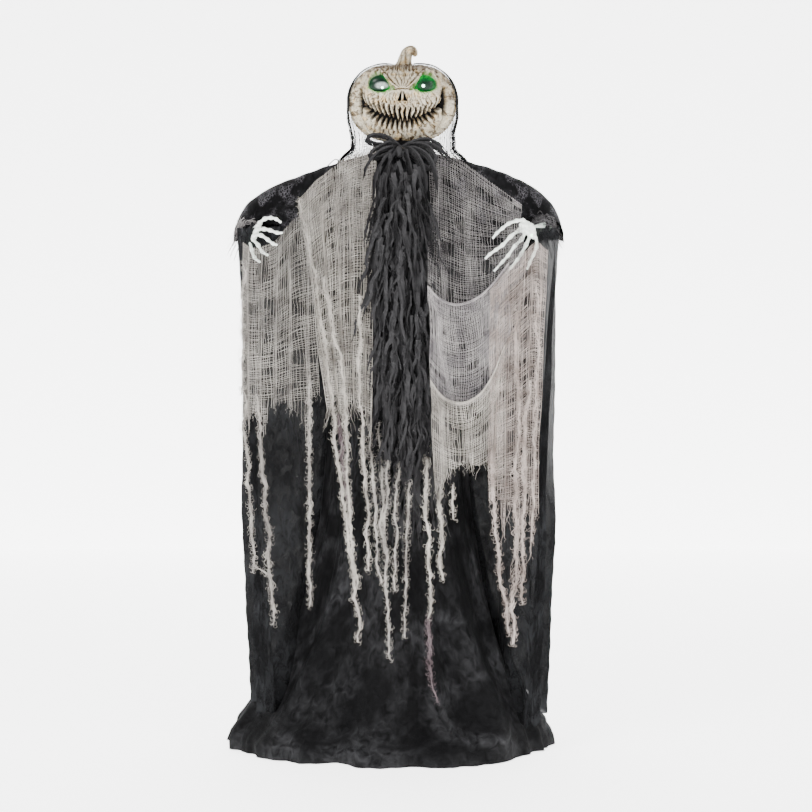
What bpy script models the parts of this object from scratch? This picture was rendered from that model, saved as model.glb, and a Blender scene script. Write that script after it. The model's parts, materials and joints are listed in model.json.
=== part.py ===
"""Free-standing pumpkin-headed reaper figure for seasonal display.

A sectional steel pole on a four-legged base carries a shoulder tee, two posable arms and a
geared neck that turns a hollow pumpkin head. A control box hangs behind the pole. Robe, sleeves,
wings, veil, ribbons and gauze are plain solids of the cloth's size and place.
Metres, +Z up. The origin is on the floor at the pole's axis, and the figure faces -Y.
"""

import math

import bmesh
import bpy
from mathutils import Matrix, Vector

# Fits
GAP = 0.0003            # clearance that touching pieces keep
SHELL = 0.0035          # moulded wall of the head
CLOTH = 0.005           # thickness of the plain cloth solids

# Stand
POLE_R = 0.014
POLE_WALL = 0.0015
POLE_TOPS = (0.580, 1.150, 1.700)
HUB_R = 0.055
HUB_H = 0.034
BORE_FLOOR = 0.006
LEG_R = 0.010
LEG_Z = 0.018
LEG_START = 0.0205
LEG_END = 0.300
FOOT_R = 0.017
FOOT_H = 0.032
LEGS = {"back_right": math.radians(45), "back_left": math.radians(135),
        "front_left": math.radians(225), "front_right": math.radians(315)}

# Shoulders and arms
SHOULDER_Z = 1.735
BAR_R = 0.012
BAR_END = 0.150
PIVOT_X = 0.172
PIVOT_BOLT_R = 0.003
EAR_IN = 0.0098
EAR_OUT = 0.0145
ARM_R = 0.006
ARM_BORE = 0.0075       # loose, because the rod starts to bend inside the lug
HAND_BORE = 0.0090      # the hand is clamped on a rod end that is still bending
WRISTS = {"left": Vector((-0.426, -0.205, 1.537)), "right": Vector((0.398, -0.220, 1.547))}
SIDES = {"left": -1.0, "right": 1.0}

# Neck drive
GEAR_MODULE = 0.00125
HEAD_TEETH = 36
PINION_TEETH = 12
GEAR_Z = (1.792, 1.798)
CENTRE_DISTANCE = GEAR_MODULE * (HEAD_TEETH + PINION_TEETH) / 2
CASE_Z = (1.768, 1.810)
SHAFT_R = 0.006

# Head: half sizes, centre and forward tilt
HEAD_CENTRE = Vector((0.005, -0.040, 1.953))
HEAD_HALF = Vector((0.166, 0.146, 0.119))
HEAD_TILT = math.radians(12)
RIB_COUNT = 14
RIB_DEPTH = 0.045
TOP_DIMPLE = 0.014
NECK_CUT_Z = -0.098     # level, from the head's centre, of the opening under the head
EYE_X = 0.065
EYE_Y = -0.100
EYE_Z = 0.056
EYE_HALF = (0.034, 0.023)
MOUTH_HALF = 0.122
MOUTH_LOW = -0.052
MOUTH_RISE = 0.085
MOUTH_OPEN = 0.016
TEETH = 16

# Control box, behind the pole
BOX_Z = (0.960, 1.090)
BOX_HALF_X = 0.055
BOX_Y = (0.0160, 0.0560)
BOX_WALL = 0.0025
COVER = 0.0035
CELL_R = 0.00725

# Cloth
ROBE_TOP = 1.620
HEM_CENTRE = Vector((-0.040, -0.030, 0.0))
HEM_HALF = Vector((0.485, 0.345, 0.0))
WAIST_SHARE = 0.33      # the robe's top width over its hem width
ROBE_COLUMNS = 28
FLARE_HEIGHT = 0.42


# ---------------------------------------------------------------- helpers

def collection(name):
    """A new collection in the scene."""
    made = bpy.data.collections.new(name)
    bpy.context.scene.collection.children.link(made)
    return made


def material(name, colour, roughness, metallic=0.0):
    """A Principled material of one linear colour."""
    made = bpy.data.materials.new(name)
    made.use_nodes = True
    shader = made.node_tree.nodes["Principled BSDF"]
    shader.inputs["Base Color"].default_value = (*colour, 1.0)
    shader.inputs["Roughness"].default_value = roughness
    shader.inputs["Metallic"].default_value = metallic
    return made


def link(name, data, skin):
    """An object of this mesh or curve among the parts."""
    made = bpy.data.objects.new(name, data)
    data.materials.append(skin)
    PARTS.objects.link(made)
    return made


def from_bmesh(name, bm, skin, smooth=False):
    """An object of this bmesh, which is freed."""
    mesh = bpy.data.meshes.new(name)
    bm.to_mesh(mesh)
    bm.free()
    if smooth:
        mesh.shade_smooth()
        mesh.set_sharp_from_angle(angle=math.radians(40))
    return link(name, mesh, skin)


def aim(direction):
    """The rotation that turns +Z to a direction."""
    return Vector(direction).to_track_quat("Z", "Y").to_matrix().to_4x4()


def add_rod(bm, start, end, radius, segments=16, tip=None):
    """A capped cylinder, or a cone where tip is given, from start to end."""
    start = Vector(start)
    run = Vector(end) - start
    place = Matrix.Translation(start + run / 2) @ aim(run)
    tip = radius if tip is None else tip
    bmesh.ops.create_cone(
        bm, cap_ends=True, segments=segments, radius1=radius, radius2=tip, depth=run.length, matrix=place
    )


def add_box(bm, low, high):
    """A box between two corners."""
    low = Vector(low)
    size = Vector(high) - low
    place = Matrix.Translation(low + size / 2) @ Matrix.Diagonal((*size, 1.0))
    bmesh.ops.create_cube(bm, size=1.0, matrix=place)


def rods(name, runs, skin, segments=14):
    """One node of separate cylinders, each (start, end, radius)."""
    bm = bmesh.new()
    for start, end, radius in runs:
        add_rod(bm, start, end, radius, segments)
    return from_bmesh(name, bm, skin, smooth=True)


def rod(name, start, end, radius, skin, segments=14):
    """One cylinder from start to end."""
    return rods(name, [(start, end, radius)], skin, segments)


def boxes(name, pairs, skin):
    """One node of separate boxes, each (low, high)."""
    bm = bmesh.new()
    for low, high in pairs:
        add_box(bm, low, high)
    return from_bmesh(name, bm, skin)


def turned(name, profile, skin, steps=20):
    """A solid turned about Z from a closed (radius, height) profile, run down its outer side."""
    mesh = bpy.data.meshes.new(name)
    bm = bmesh.new()
    verts = [bm.verts.new((radius, 0.0, height)) for radius, height in profile]
    for first, second in zip(verts, verts[1:] + verts[:1]):
        if first.co.x > 0.0 or second.co.x > 0.0:
            bm.edges.new((first, second))
    bm.to_mesh(mesh)
    bm.free()
    made = link(name, mesh, skin)
    screw = made.modifiers.new("turn", "SCREW")
    screw.steps = steps
    screw.render_steps = steps
    screw.use_merge_vertices = True
    screw.merge_threshold = 0.00001
    return made


def ring(name, inner, outer, low, high, skin, steps=20):
    """A turned tube between two heights."""
    return turned(name, [(outer, high), (outer, low), (inner, low), (inner, high)], skin, steps)


def as_cutter(tool):
    """Moves a tool to the cutters, where the build leaves it out."""
    PARTS.objects.unlink(tool)
    CUTTERS.objects.link(tool)
    tool.hide_render = True
    tool.display_type = "WIRE"


def boolean(target, tool, operation="DIFFERENCE"):
    """Cuts or joins with the exact solver."""
    modifier = target.modifiers.new(tool.name, "BOOLEAN")
    modifier.operation = operation
    modifier.object = tool
    modifier.solver = "EXACT"
    if tool.name in PARTS.objects:
        as_cutter(tool)


def smooth_path(points, steps=4):
    """Points along a Catmull-Rom curve through the given ones."""
    points = [Vector(p) for p in points]
    ends = [2 * points[0] - points[1], *points, 2 * points[-1] - points[-2]]
    path = []
    for a, b, c, d in zip(ends, ends[1:], ends[2:], ends[3:]):
        for k in range(steps):
            t = k / steps
            path.append(
                0.5 * ((2 * b) + (c - a) * t + (2 * a - 5 * b + 4 * c - d) * t**2
                       + (3 * b - a - 3 * c + d) * t**3)
            )
    path.append(points[-1])
    return path


def wire(name, path, radius, skin, radii=None, capped=True, resolution=2):
    """A curve tube along a path, with an optional share of the radius at each point."""
    curve = bpy.data.curves.new(name, "CURVE")
    curve.dimensions = "3D"
    curve.bevel_depth = radius
    curve.bevel_resolution = resolution
    curve.use_fill_caps = capped
    spline = curve.splines.new("POLY")
    spline.points.add(len(path) - 1)
    for k, point in enumerate(path):
        spline.points[k].co = (*point, 1.0)
        spline.points[k].radius = radii[k] if radii else 1.0
    return link(name, curve, skin)


def as_mesh(source):
    """The same piece as a mesh object with its caps welded, in the curve's place."""
    evaluated = source.evaluated_get(bpy.context.evaluated_depsgraph_get())
    mesh = bpy.data.meshes.new_from_object(evaluated)
    bm = bmesh.new()
    bm.from_mesh(mesh)
    bmesh.ops.remove_doubles(bm, verts=bm.verts, dist=0.00001)
    bmesh.ops.recalc_face_normals(bm, faces=bm.faces)
    bm.to_mesh(mesh)
    bm.free()
    name = source.name
    place = source.matrix_world.copy()
    bpy.data.objects.remove(source)
    made = bpy.data.objects.new(name, mesh)
    made.matrix_world = place
    PARTS.objects.link(made)
    return made


def solidify(target, thickness, offset=0.0):
    """Gives an open surface its wall."""
    modifier = target.modifiers.new("wall", "SOLIDIFY")
    modifier.thickness = thickness
    modifier.offset = offset
    modifier.use_even_offset = True


def panel(name, point, columns, rows, skin, thickness=CLOTH):
    """A sheet whose points are point(u, v) for u and v from 0 to 1, with a wall."""
    bm = bmesh.new()
    bmesh.ops.create_grid(bm, x_segments=columns, y_segments=rows, size=0.5)
    for vert in bm.verts:
        vert.co = point(vert.co.x + 0.5, vert.co.y + 0.5)
    made = from_bmesh(name, bm, skin, smooth=True)
    solidify(made, thickness)
    return made


def hang_on(name, place, *children):
    """Parents pieces to an empty on their joint's axis, and leaves them where they are."""
    axis = bpy.data.objects.new(name, None)
    axis.location = place
    PARTS.objects.link(axis)
    for child in children:
        child.parent = axis
        child.matrix_parent_inverse = Matrix.Translation(place).inverted()


def mix(low, high, share):
    """A value between two others."""
    return low + (high - low) * share


# ---------------------------------------------------------------- stand

def radial(angle, distance, height):
    """A point at an angle and distance from the pole's axis."""
    return Vector((distance * math.cos(angle), distance * math.sin(angle), height))


def build_base():
    """Hub with four radial sockets, and its four tube legs, each with a foot moulded on its end."""
    bore = POLE_R + GAP
    hub = turned("base_hub", [
        (0.0, 0.0), (0.0, BORE_FLOOR), (bore, BORE_FLOOR), (bore, 0.080), (0.021, 0.080),
        (0.023, 0.040), (0.030, HUB_H), (HUB_R - 0.003, HUB_H), (HUB_R, HUB_H - 0.003), (HUB_R, 0.0),
    ][::-1], HUB_PLASTIC, 32)
    for name, angle in LEGS.items():
        socket = rod(f"socket_{name}", radial(angle, LEG_START - GAP, LEG_Z), radial(angle, 0.080, LEG_Z),
                     LEG_R + GAP, RUBBER, 12)
        boolean(hub, socket)
        leg = rod(f"leg_{name}", radial(angle, LEG_START, LEG_Z), radial(angle, LEG_END, LEG_Z), LEG_R,
                  STEEL_PAINT, 12)
        boolean(leg, rod(f"foot_{name}", radial(angle, LEG_END - 0.005, 0),
                         radial(angle, LEG_END - 0.005, FOOT_H), FOOT_R, RUBBER, 16), "UNION")
        boolean(leg, rod(f"hollow_{name}", radial(angle, 0.0, LEG_Z), radial(angle, LEG_END - 0.030, LEG_Z),
                         LEG_R - POLE_WALL, RUBBER, 12))


def build_pole():
    """Three tubes end to end, and the collars over their two joints."""
    low = BORE_FLOOR + GAP
    for name, top in zip(("lower", "middle", "upper"), POLE_TOPS):
        ring(f"{name}_pole", POLE_R - POLE_WALL, POLE_R, low, top, STEEL_PAINT)
        low = top + GAP
    for name, top in zip(("lower", "upper"), POLE_TOPS):
        ring(f"{name}_collar", POLE_R + GAP, 0.0185, top - 0.03, top + 0.03, HUB_PLASTIC)


# ---------------------------------------------------------------- shoulders and arms

def build_shoulders():
    """Tee on the pole, the cross bars and the forked knuckles that the arms pivot in."""
    tee = rods("shoulder_tee", [((0, 0, 1.655), (0, 0, CASE_Z[0] - GAP), 0.0205)], HUB_PLASTIC, 24)
    boolean(tee, rods("tee_arm", [((-0.045, 0, SHOULDER_Z), (0.045, 0, SHOULDER_Z), 0.017)],
                      HUB_PLASTIC, 24), "UNION")
    boolean(tee, rods("tee_bore", [((0, 0, 1.600), (0, 0, POLE_TOPS[2] + GAP), POLE_R + GAP)],
                      RUBBER, 24))
    boolean(tee, rod("tee_bar_bore", (-0.060, 0, SHOULDER_Z), (0.060, 0, SHOULDER_Z), BAR_R + GAP,
                     RUBBER, 16))
    rod("shoulder_bar", (-BAR_END, 0, SHOULDER_Z), (BAR_END, 0, SHOULDER_Z), BAR_R, STEEL_PAINT, 16)

    for name, side in SIDES.items():
        knuckle = rods(f"shoulder_knuckle_{name}",
                       [((side * 0.118, 0, SHOULDER_Z), (side * 0.156, 0, SHOULDER_Z), 0.0165)],
                       HUB_PLASTIC, 16)
        low = Vector((side * 0.1535, -EAR_OUT, SHOULDER_Z - 0.010))
        high = Vector((side * (PIVOT_X + 0.010), EAR_OUT, SHOULDER_Z + 0.010))
        corners = [(min(a, b), max(a, b)) for a, b in zip(low, high)]
        block = boxes(f"fork_block_{name}", [([c[0] for c in corners], [c[1] for c in corners])], RUBBER)
        boolean(knuckle, block, "UNION")
        boolean(knuckle, rods(f"bar_socket_{name}", [((side * 0.1, 0, SHOULDER_Z),
                (side * (BAR_END + GAP), 0, SHOULDER_Z), BAR_R + GAP)], RUBBER, 16))
        slot = sorted((side * (PIVOT_X - 0.0145), side * 0.2))
        boolean(knuckle, boxes(f"fork_slot_{name}", [((slot[0], -EAR_IN, SHOULDER_Z - 0.03),
                (slot[1], EAR_IN, SHOULDER_Z + 0.03))], RUBBER))
        boolean(knuckle, rods(f"pivot_hole_{name}", [((side * PIVOT_X, -0.03, SHOULDER_Z),
                (side * PIVOT_X, 0.03, SHOULDER_Z), PIVOT_BOLT_R + GAP)], RUBBER, 12))

    for name, side in SIDES.items():
        bm = bmesh.new()
        add_pivot_bolt(bm, side * PIVOT_X)
        from_bmesh(f"pivot_bolt_{name}", bm, ZINC, smooth=True)


def add_pivot_bolt(bm, across):
    """A hexagon bolt through the fork, with its nut on the far ear."""
    outline = [(PIVOT_BOLT_R, 0.022), (PIVOT_BOLT_R, EAR_OUT + GAP + 0.004), (0.0055, EAR_OUT + GAP + 0.004),
               (0.0055, EAR_OUT + GAP), (PIVOT_BOLT_R, EAR_OUT + GAP), (PIVOT_BOLT_R, -EAR_OUT - GAP),
               (0.0055, -EAR_OUT - GAP), (0.0055, -EAR_OUT - GAP - 0.004)]
    segments = 12
    loop = bmesh.ops.create_circle(bm, cap_ends=True, segments=segments, radius=1.0)["verts"]
    faces = [loop[0].link_faces[0]]
    edges = list(faces[0].edges)
    for vert in loop:
        vert.co = Vector((across + vert.co.x * outline[0][0], outline[0][1],
                          SHOULDER_Z + vert.co.y * outline[0][0]))
    for (r0, _), (r1, y1) in zip(outline, outline[1:]):
        grown = bmesh.ops.extrude_edge_only(bm, edges=edges)["geom"]
        verts = [g for g in grown if isinstance(g, bmesh.types.BMVert)]
        edges = [g for g in grown if isinstance(g, bmesh.types.BMEdge)
                 and all(v in verts for v in g.verts)]
        faces += [g for g in grown if isinstance(g, bmesh.types.BMFace)]
        for vert in verts:
            vert.co.x = across + (vert.co.x - across) * r1 / r0
            vert.co.z = SHOULDER_Z + (vert.co.z - SHOULDER_Z) * r1 / r0
            vert.co.y = y1
    faces += bmesh.ops.contextual_create(bm, geom=edges)["faces"]
    bmesh.ops.recalc_face_normals(bm, faces=faces)


def arm_line(name):
    """The arm rod's path from the pivot lug to the wrist."""
    side = SIDES[name]
    wrist = WRISTS[name]
    return [(side * 0.186, 0.0, 1.7335), (side * 0.232, -0.012, 1.724), (side * 0.300, -0.042, 1.703),
            (side * 0.362, -0.085, 1.667), (wrist.x + side * 0.018, -0.135, 1.622),
            (wrist.x + side * 0.022, wrist.y + 0.028, wrist.z + 0.030), tuple(wrist)]


# Digits from the wrist: (knuckle, tip), the thumb first
DIGITS = {
    "right": (((-0.035, -0.020, 0.000), (-0.126, -0.055, -0.042)),
              ((-0.062, -0.022, -0.028), (-0.152, -0.050, -0.100)),
              ((-0.054, -0.018, -0.044), (-0.128, -0.034, -0.138)),
              ((-0.036, -0.012, -0.052), (-0.070, -0.022, -0.118)),
              ((-0.014, -0.006, -0.050), (-0.016, -0.014, -0.110))),
    "left": (((0.028, -0.030, 0.006), (0.084, -0.120, 0.014)),
             ((0.030, -0.052, -0.010), (0.090, -0.142, -0.020)),
             ((0.026, -0.052, -0.026), (0.076, -0.138, -0.054)),
             ((0.018, -0.042, -0.038), (0.052, -0.110, -0.082)),
             ((0.006, -0.028, -0.044), (0.022, -0.076, -0.100))),
}


def build_hand(name):
    """Skeletal hand: a flat palm, five bony digits and a wrist barrel over the rod's end."""
    wrist = WRISTS[name]
    knuckles = [wrist + Vector(root) for root, _ in DIGITS[name]]
    centre = sum(knuckles, Vector()) / len(knuckles)
    along = (centre - wrist).normalized()
    across = (knuckles[0] - knuckles[-1]).normalized()
    normal = along.cross(across).normalized()
    across = normal.cross(along)
    turn = Matrix((along, across, normal)).transposed().to_4x4()
    middle = wrist.lerp(centre, 0.62)
    bm = bmesh.new()
    palm = Matrix.Translation(middle) @ turn @ Matrix.Diagonal((0.034, 0.028, 0.011, 1))
    bmesh.ops.create_uvsphere(bm, u_segments=12, v_segments=8, radius=1.0, matrix=palm)
    hand = from_bmesh(f"hand_{name}", bm, BONE, smooth=True)
    for k, (root, tip) in enumerate(DIGITS[name]):
        root = wrist + Vector(root)
        tip = wrist + Vector(tip)
        bend = root.lerp(tip, 0.45) + normal * 0.010
        path = [middle, root, bend, root.lerp(tip, 0.76) + normal * 0.006, tip]
        knobs = [1.0, 1.05, 0.85, 0.72, 0.42]
        digit = as_mesh(wire(f"digit_{name}_{k}", path, 0.0060, BONE, knobs, resolution=1))
        digit.data.materials.clear()
        digit.data.materials.append(BONE)
        boolean(hand, digit, "UNION")
    end = Vector(arm_line(name)[-2])
    out = (end - wrist).normalized()
    cuff = rods(f"wrist_barrel_{name}", [(wrist + out * 0.020, wrist - out * 0.022, 0.0125)], BONE, 12)
    boolean(hand, cuff, "UNION")
    boolean(hand, rods(f"rod_socket_{name}", [(wrist + out * 0.040, wrist - out * 0.0015, HAND_BORE)],
                       RUBBER, 12))
    seat = middle - normal * 0.0165 if normal.y > 0 else middle + normal * 0.0165
    lens = rods(f"palm_led_{name}", [(seat, seat + (seat - middle).normalized() * 0.006, 0.005)], LENS, 12)
    return hand, lens


def build_arms():
    """Arm lug, bent rod and hand on each side, parented to an empty on the pivot bolt."""
    for name, side in SIDES.items():
        line = arm_line(name)
        rod = wire(f"arm_rod_{name}", smooth_path(line, 4), ARM_R, STEEL_PAINT)
        lug = rods(f"arm_lug_{name}", [((side * PIVOT_X, -EAR_IN + GAP, SHOULDER_Z),
                   (side * PIVOT_X, EAR_IN - GAP, SHOULDER_Z), 0.0138)], HUB_PLASTIC, 16)
        run = (Vector(line[1]) - Vector(line[0])).normalized()
        start = Vector(line[0])
        boolean(lug, rods(f"lug_barrel_{name}", [(start - run * 0.003, start + run * 0.022, 0.0092)],
                          RUBBER, 16), "UNION")
        boolean(lug, rods(f"lug_bore_{name}", [(start - run * 0.0005, start + run * 0.050, ARM_BORE)],
                          RUBBER, 16))
        boolean(lug, rods(f"lug_pivot_{name}", [((side * PIVOT_X, -0.03, SHOULDER_Z),
                (side * PIVOT_X, 0.03, SHOULDER_Z), PIVOT_BOLT_R + GAP)], RUBBER, 12))
        hand, lens = build_hand(name)
        hang_on(f"arm_{name}_axis", (side * PIVOT_X, 0, SHOULDER_Z), rod, lug, hand, lens)


# ---------------------------------------------------------------- neck drive

def gear_outline(teeth, phase):
    """Points round a spur gear with slim straight-sided teeth."""
    pitch_r = GEAR_MODULE * teeth / 2
    tip_r = pitch_r + 0.75 * GEAR_MODULE
    root_r = pitch_r - 1.10 * GEAR_MODULE
    step = 2 * math.pi / teeth
    points = []
    for k in range(teeth):
        middle = phase + k * step
        for share, radius in ((-0.27, root_r), (-0.09, tip_r), (0.09, tip_r), (0.27, root_r)):
            angle = middle + share * step
            points.append((radius * math.cos(angle), radius * math.sin(angle)))
    return points


def gear(name, teeth, phase, centre, bore, skin):
    """A spur gear of the outline, extruded, with a round bore."""
    bm = bmesh.new()
    verts = [bm.verts.new((centre[0] + x, centre[1] + y, GEAR_Z[0])) for x, y in gear_outline(teeth, phase)]
    face = bm.faces.new(verts)
    grown = bmesh.ops.extrude_face_region(bm, geom=[face])["geom"]
    lifted = [g for g in grown if isinstance(g, bmesh.types.BMVert)]
    bmesh.ops.translate(bm, verts=lifted, vec=(0, 0, GEAR_Z[1] - GEAR_Z[0]))
    bmesh.ops.recalc_face_normals(bm, faces=bm.faces)
    made = from_bmesh(name, bm, skin)
    low, high = (*centre, GEAR_Z[0] - 0.01), (*centre, GEAR_Z[1] + 0.01)
    boolean(made, rods(name + "_bore", [(low, high, bore)], RUBBER, 16))
    return made


def build_neck_drive():
    """Gear case in two halves round the motor, its pinion and the head's gear and shaft."""
    half_x = 0.034
    y_low = -0.030
    y_high = 0.052
    split = CASE_Z[0] + 0.022
    wall = 0.003
    lower = boxes("gear_case_lower", [((-half_x, y_low, CASE_Z[0]), (half_x, y_high, split))], CASE_PLASTIC)
    boolean(lower, boxes("lower_room", [((-half_x + wall, y_low + wall, CASE_Z[0] + wall),
            (half_x - wall, y_high - wall, split + 0.01))], RUBBER))
    upper = boxes("gear_case_upper", [((-half_x, y_low, split + GAP), (half_x, y_high, CASE_Z[1]))],
                  CASE_PLASTIC)
    boolean(upper, boxes("upper_room", [((-half_x + wall, y_low + wall, split - 0.01),
            (half_x - wall, y_high - wall, CASE_Z[1] - wall))], RUBBER))
    boolean(upper, rods("case_bore", [((0, 0, split), (0, 0, CASE_Z[1] + 0.02), SHAFT_R + 2 * GAP)],
                        RUBBER, 24))

    middle = (0.0, CENTRE_DISTANCE)
    motor = rods("neck_motor", [((*middle, CASE_Z[0] + wall + GAP), (*middle, GEAR_Z[0] - 0.002), 0.0145)],
                 ZINC, 20)
    boolean(motor, rods("motor_shaft", [((*middle, GEAR_Z[0] - 0.004), (*middle, GEAR_Z[1] + 0.002), 0.0010)],
                        ZINC, 10), "UNION")
    # A gap of the pinion faces a tooth of the head gear on the line between the centres
    head_gear = gear("head_gear", HEAD_TEETH, math.pi / 2, (0.0, 0.0), SHAFT_R + GAP, NYLON)
    pinion = gear("motor_pinion", PINION_TEETH, -math.pi / 2 + math.pi / PINION_TEETH, middle,
                  0.0010 + GAP, NYLON)
    hang_on("pinion_axis", (*middle, GEAR_Z[0]), pinion)
    return head_gear


# ---------------------------------------------------------------- head

def head_place():
    """The head's own frame in the world."""
    return Matrix.Translation(HEAD_CENTRE) @ Matrix.Rotation(HEAD_TILT, 4, "X")


def pumpkin(direction, inset=0.0):
    """The point of the ribbed pumpkin in a direction, in the head's own frame."""
    flat = math.hypot(direction.x, direction.y)
    lat = math.atan2(direction.z, flat)
    lon = math.atan2(direction.y, direction.x)
    ribs = 1.0 - RIB_DEPTH * (1.0 - abs(math.cos(RIB_COUNT / 2 * lon))) * math.cos(lat) ** 1.5
    wide = math.copysign(abs(math.cos(lat)) ** 0.80, 1.0) * ribs
    jaw = 1.0 - 0.10 * max(0.0, -math.sin(lat))
    tall = math.sin(lat)
    point = Vector(((HEAD_HALF.x - inset) * wide * jaw * math.cos(lon),
                    (HEAD_HALF.y - inset) * wide * jaw * math.sin(lon),
                    (HEAD_HALF.z - inset) * tall))
    reach = math.hypot(point.x, point.y) / 0.055
    point.z -= TOP_DIMPLE * math.exp(-reach * reach) * (1.0 if tall > 0 else 0.0)
    return point


def head_shell(name, keep_front):
    """Half of the hollow head, cut at the middle and open under the neck."""
    bm = bmesh.new()
    bmesh.ops.create_uvsphere(bm, u_segments=2 * RIB_COUNT, v_segments=14, radius=1.0)
    for vert in bm.verts:
        vert.co = pumpkin(vert.co)
    side = -1.0 if keep_front else 1.0
    whole = list(bm.verts) + list(bm.edges) + list(bm.faces)
    bmesh.ops.bisect_plane(bm, geom=whole, plane_co=(0, -side * 0.010, 0), plane_no=(0, side, 0),
                           clear_inner=True)
    whole = list(bm.verts) + list(bm.edges) + list(bm.faces)
    bmesh.ops.bisect_plane(bm, geom=whole, plane_co=(0, 0, NECK_CUT_Z), plane_no=(0, 0, 1), clear_inner=True)
    made = from_bmesh(name, bm, PUMPKIN, smooth=True)
    made.matrix_world = head_place()
    modifier = made.modifiers.new("wall", "SOLIDIFY")
    modifier.thickness = SHELL
    modifier.offset = -1.0
    edges = sorted((side * GAP, -side * 0.050))
    seam = boxes(f"{name}_seam", [((-0.2, edges[0], -0.2), (0.2, edges[1], 0.2))], RUBBER)
    seam.matrix_world = head_place()
    boolean(made, seam)
    return made


def mouth_outline():
    """The grin's outline in x and z: saw teeth above and below a rising middle line."""
    def middle(x):
        return MOUTH_LOW + MOUTH_RISE * (abs(x) / MOUTH_HALF) ** 2.2

    upper = []
    lower = []
    for k in range(2 * TEETH + 1):
        x = -MOUTH_HALF + MOUTH_HALF * k / TEETH
        open_share = max(0.25, 1.0 - (abs(x) / MOUTH_HALF) ** 3)
        high = MOUTH_OPEN if k % 2 == 0 else 0.22 * MOUTH_OPEN
        low = MOUTH_OPEN if k % 2 == 1 else 0.30 * MOUTH_OPEN
        upper.append((x, middle(x) + high * open_share))
        lower.append((x, middle(x) - low * open_share))
    return upper + lower[::-1]


def flat_cutter(name, outline, y_low, y_high):
    """An outline in x and z, extruded along y, in the head's frame."""
    bm = bmesh.new()
    verts = [bm.verts.new((x, y_low, z)) for x, z in outline]
    face = bm.faces.new(verts)
    grown = bmesh.ops.extrude_face_region(bm, geom=[face])["geom"]
    moved = [g for g in grown if isinstance(g, bmesh.types.BMVert)]
    bmesh.ops.translate(bm, verts=moved, vec=(0, y_high - y_low, 0))
    bmesh.ops.recalc_face_normals(bm, faces=bm.faces)
    made = from_bmesh(name, bm, RUBBER)
    made.matrix_world = head_place()
    return made


def ellipse(x, z, half_x, half_z, slant, count=14):
    """An ellipse's outline, turned by its slant."""
    points = []
    for k in range(count):
        angle = 2 * math.pi * k / count
        a = half_x * math.cos(angle)
        b = half_z * math.sin(angle)
        points.append((x + a * math.cos(slant) - b * math.sin(slant),
                       z + a * math.sin(slant) + b * math.cos(slant)))
    return points


def build_head(head_gear):
    """Hollow pumpkin in two halves, with eyes, mouth liner, stem, neck flange and shaft."""
    place = head_place()
    front = head_shell("head_front", True)
    back = head_shell("head_back", False)
    boolean(front, flat_cutter("mouth_cut", mouth_outline(), -0.30, -0.020))
    for name, side in SIDES.items():
        slant = side * math.radians(16)
        boolean(front, flat_cutter(f"eye_cut_{name}", ellipse(side * EYE_X, EYE_Z, *EYE_HALF, slant),
                                   -0.30, -0.030))
        nostril = [(side * 0.003, -0.014), (side * 0.010, -0.020), (side * 0.005, 0.006)]
        boolean(front, flat_cutter(f"nostril_{name}", nostril, -0.30, -0.050))
    plug_hole = rods("stem_hole", [((0, 0.004, 0.06), (0, 0.004, 0.16), 0.0200)], RUBBER, 20)
    plug_hole.matrix_world = place
    boolean(front, plug_hole)
    boolean(back, plug_hole)

    top = HEAD_HALF.z - TOP_DIMPLE
    stem = rods("stem", [((0, 0.004, top - 0.006), (0, 0.004, top + 0.007), 0.0196)], STALK, 20)
    stem.matrix_world = place
    hook = [(0, 0.004, top + 0.002), (-0.001, 0.002, top + 0.030), (0.003, -0.004, top + 0.046),
            (0.014, -0.010, top + 0.053), (0.024, -0.014, top + 0.048)]
    stalk = as_mesh(wire("stalk", smooth_path(hook, 2), 0.0150, STALK,
                         [1.1, 1.0, 0.9, 0.82, 0.76, 0.72, 0.68, 0.62, 0.55], resolution=2))
    stalk.matrix_world = place
    boolean(stem, stalk, "UNION")

    turning = [front, back, stem, head_gear]
    for name, side in SIDES.items():
        bm = bmesh.new()
        turn = Matrix.Translation((side * EYE_X, EYE_Y, EYE_Z))
        turn = turn @ Matrix.Rotation(-side * math.radians(16), 4, "Y")
        bmesh.ops.create_uvsphere(bm, u_segments=16, v_segments=10, radius=1.0,
                                  matrix=turn @ Matrix.Diagonal((0.0310, 0.0150, 0.0200, 1)))
        eye = from_bmesh(f"eye_{name}", bm, LENS, smooth=True)
        eye.matrix_world = place
        turning.append(eye)

    leds = boxes("eye_led_board", [((-0.064, -0.0700, EYE_Z - 0.005), (0.064, -0.0684, EYE_Z + 0.005))],
                 BOARD)
    leds.matrix_world = place
    for name, side in SIDES.items():
        across = side * EYE_X * 0.9
        led = rod(f"eye_led_{name}", (across, -0.0695, EYE_Z), (across, -0.0800, EYE_Z), 0.0025, LENS, 10)
        led.matrix_world = place
        boolean(leds, led, "UNION")

    def liner_point(u, v):
        angle = math.radians(mix(200, 340, u))
        height = mix(-0.078, 0.034, v)
        across = mix(0.100, 0.130, v) * math.cos(angle)
        return Vector((across, mix(0.085, 0.096, v) * math.sin(angle), height))

    liner = panel("mouth_liner", liner_point, 12, 3, DARK, 0.002)
    liner.matrix_world = place

    flange = rods("neck_flange", [((-0.005, 0.012, NECK_CUT_Z + 0.002), (-0.005, 0.012, NECK_CUT_Z + 0.006),
                                   0.066)], CASE_PLASTIC, 32)
    flange.matrix_world = place
    foot = place @ Vector((-0.005, 0.012, NECK_CUT_Z))
    shaft = rods("neck_shaft", [((0, 0, CASE_Z[0] + 0.0045), (0, 0, foot.z - 0.004), SHAFT_R)],
                 STEEL_PAINT, 24)
    boolean(flange, rods("flange_boss", [((0, 0, foot.z - 0.003), (0, 0, foot.z + 0.004), 0.014)],
                         CASE_PLASTIC, 20), "UNION")
    turning += [leds, liner, flange, shaft]
    hang_on("head_axis", (0.0, 0.0, CASE_Z[1]), *turning)


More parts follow.
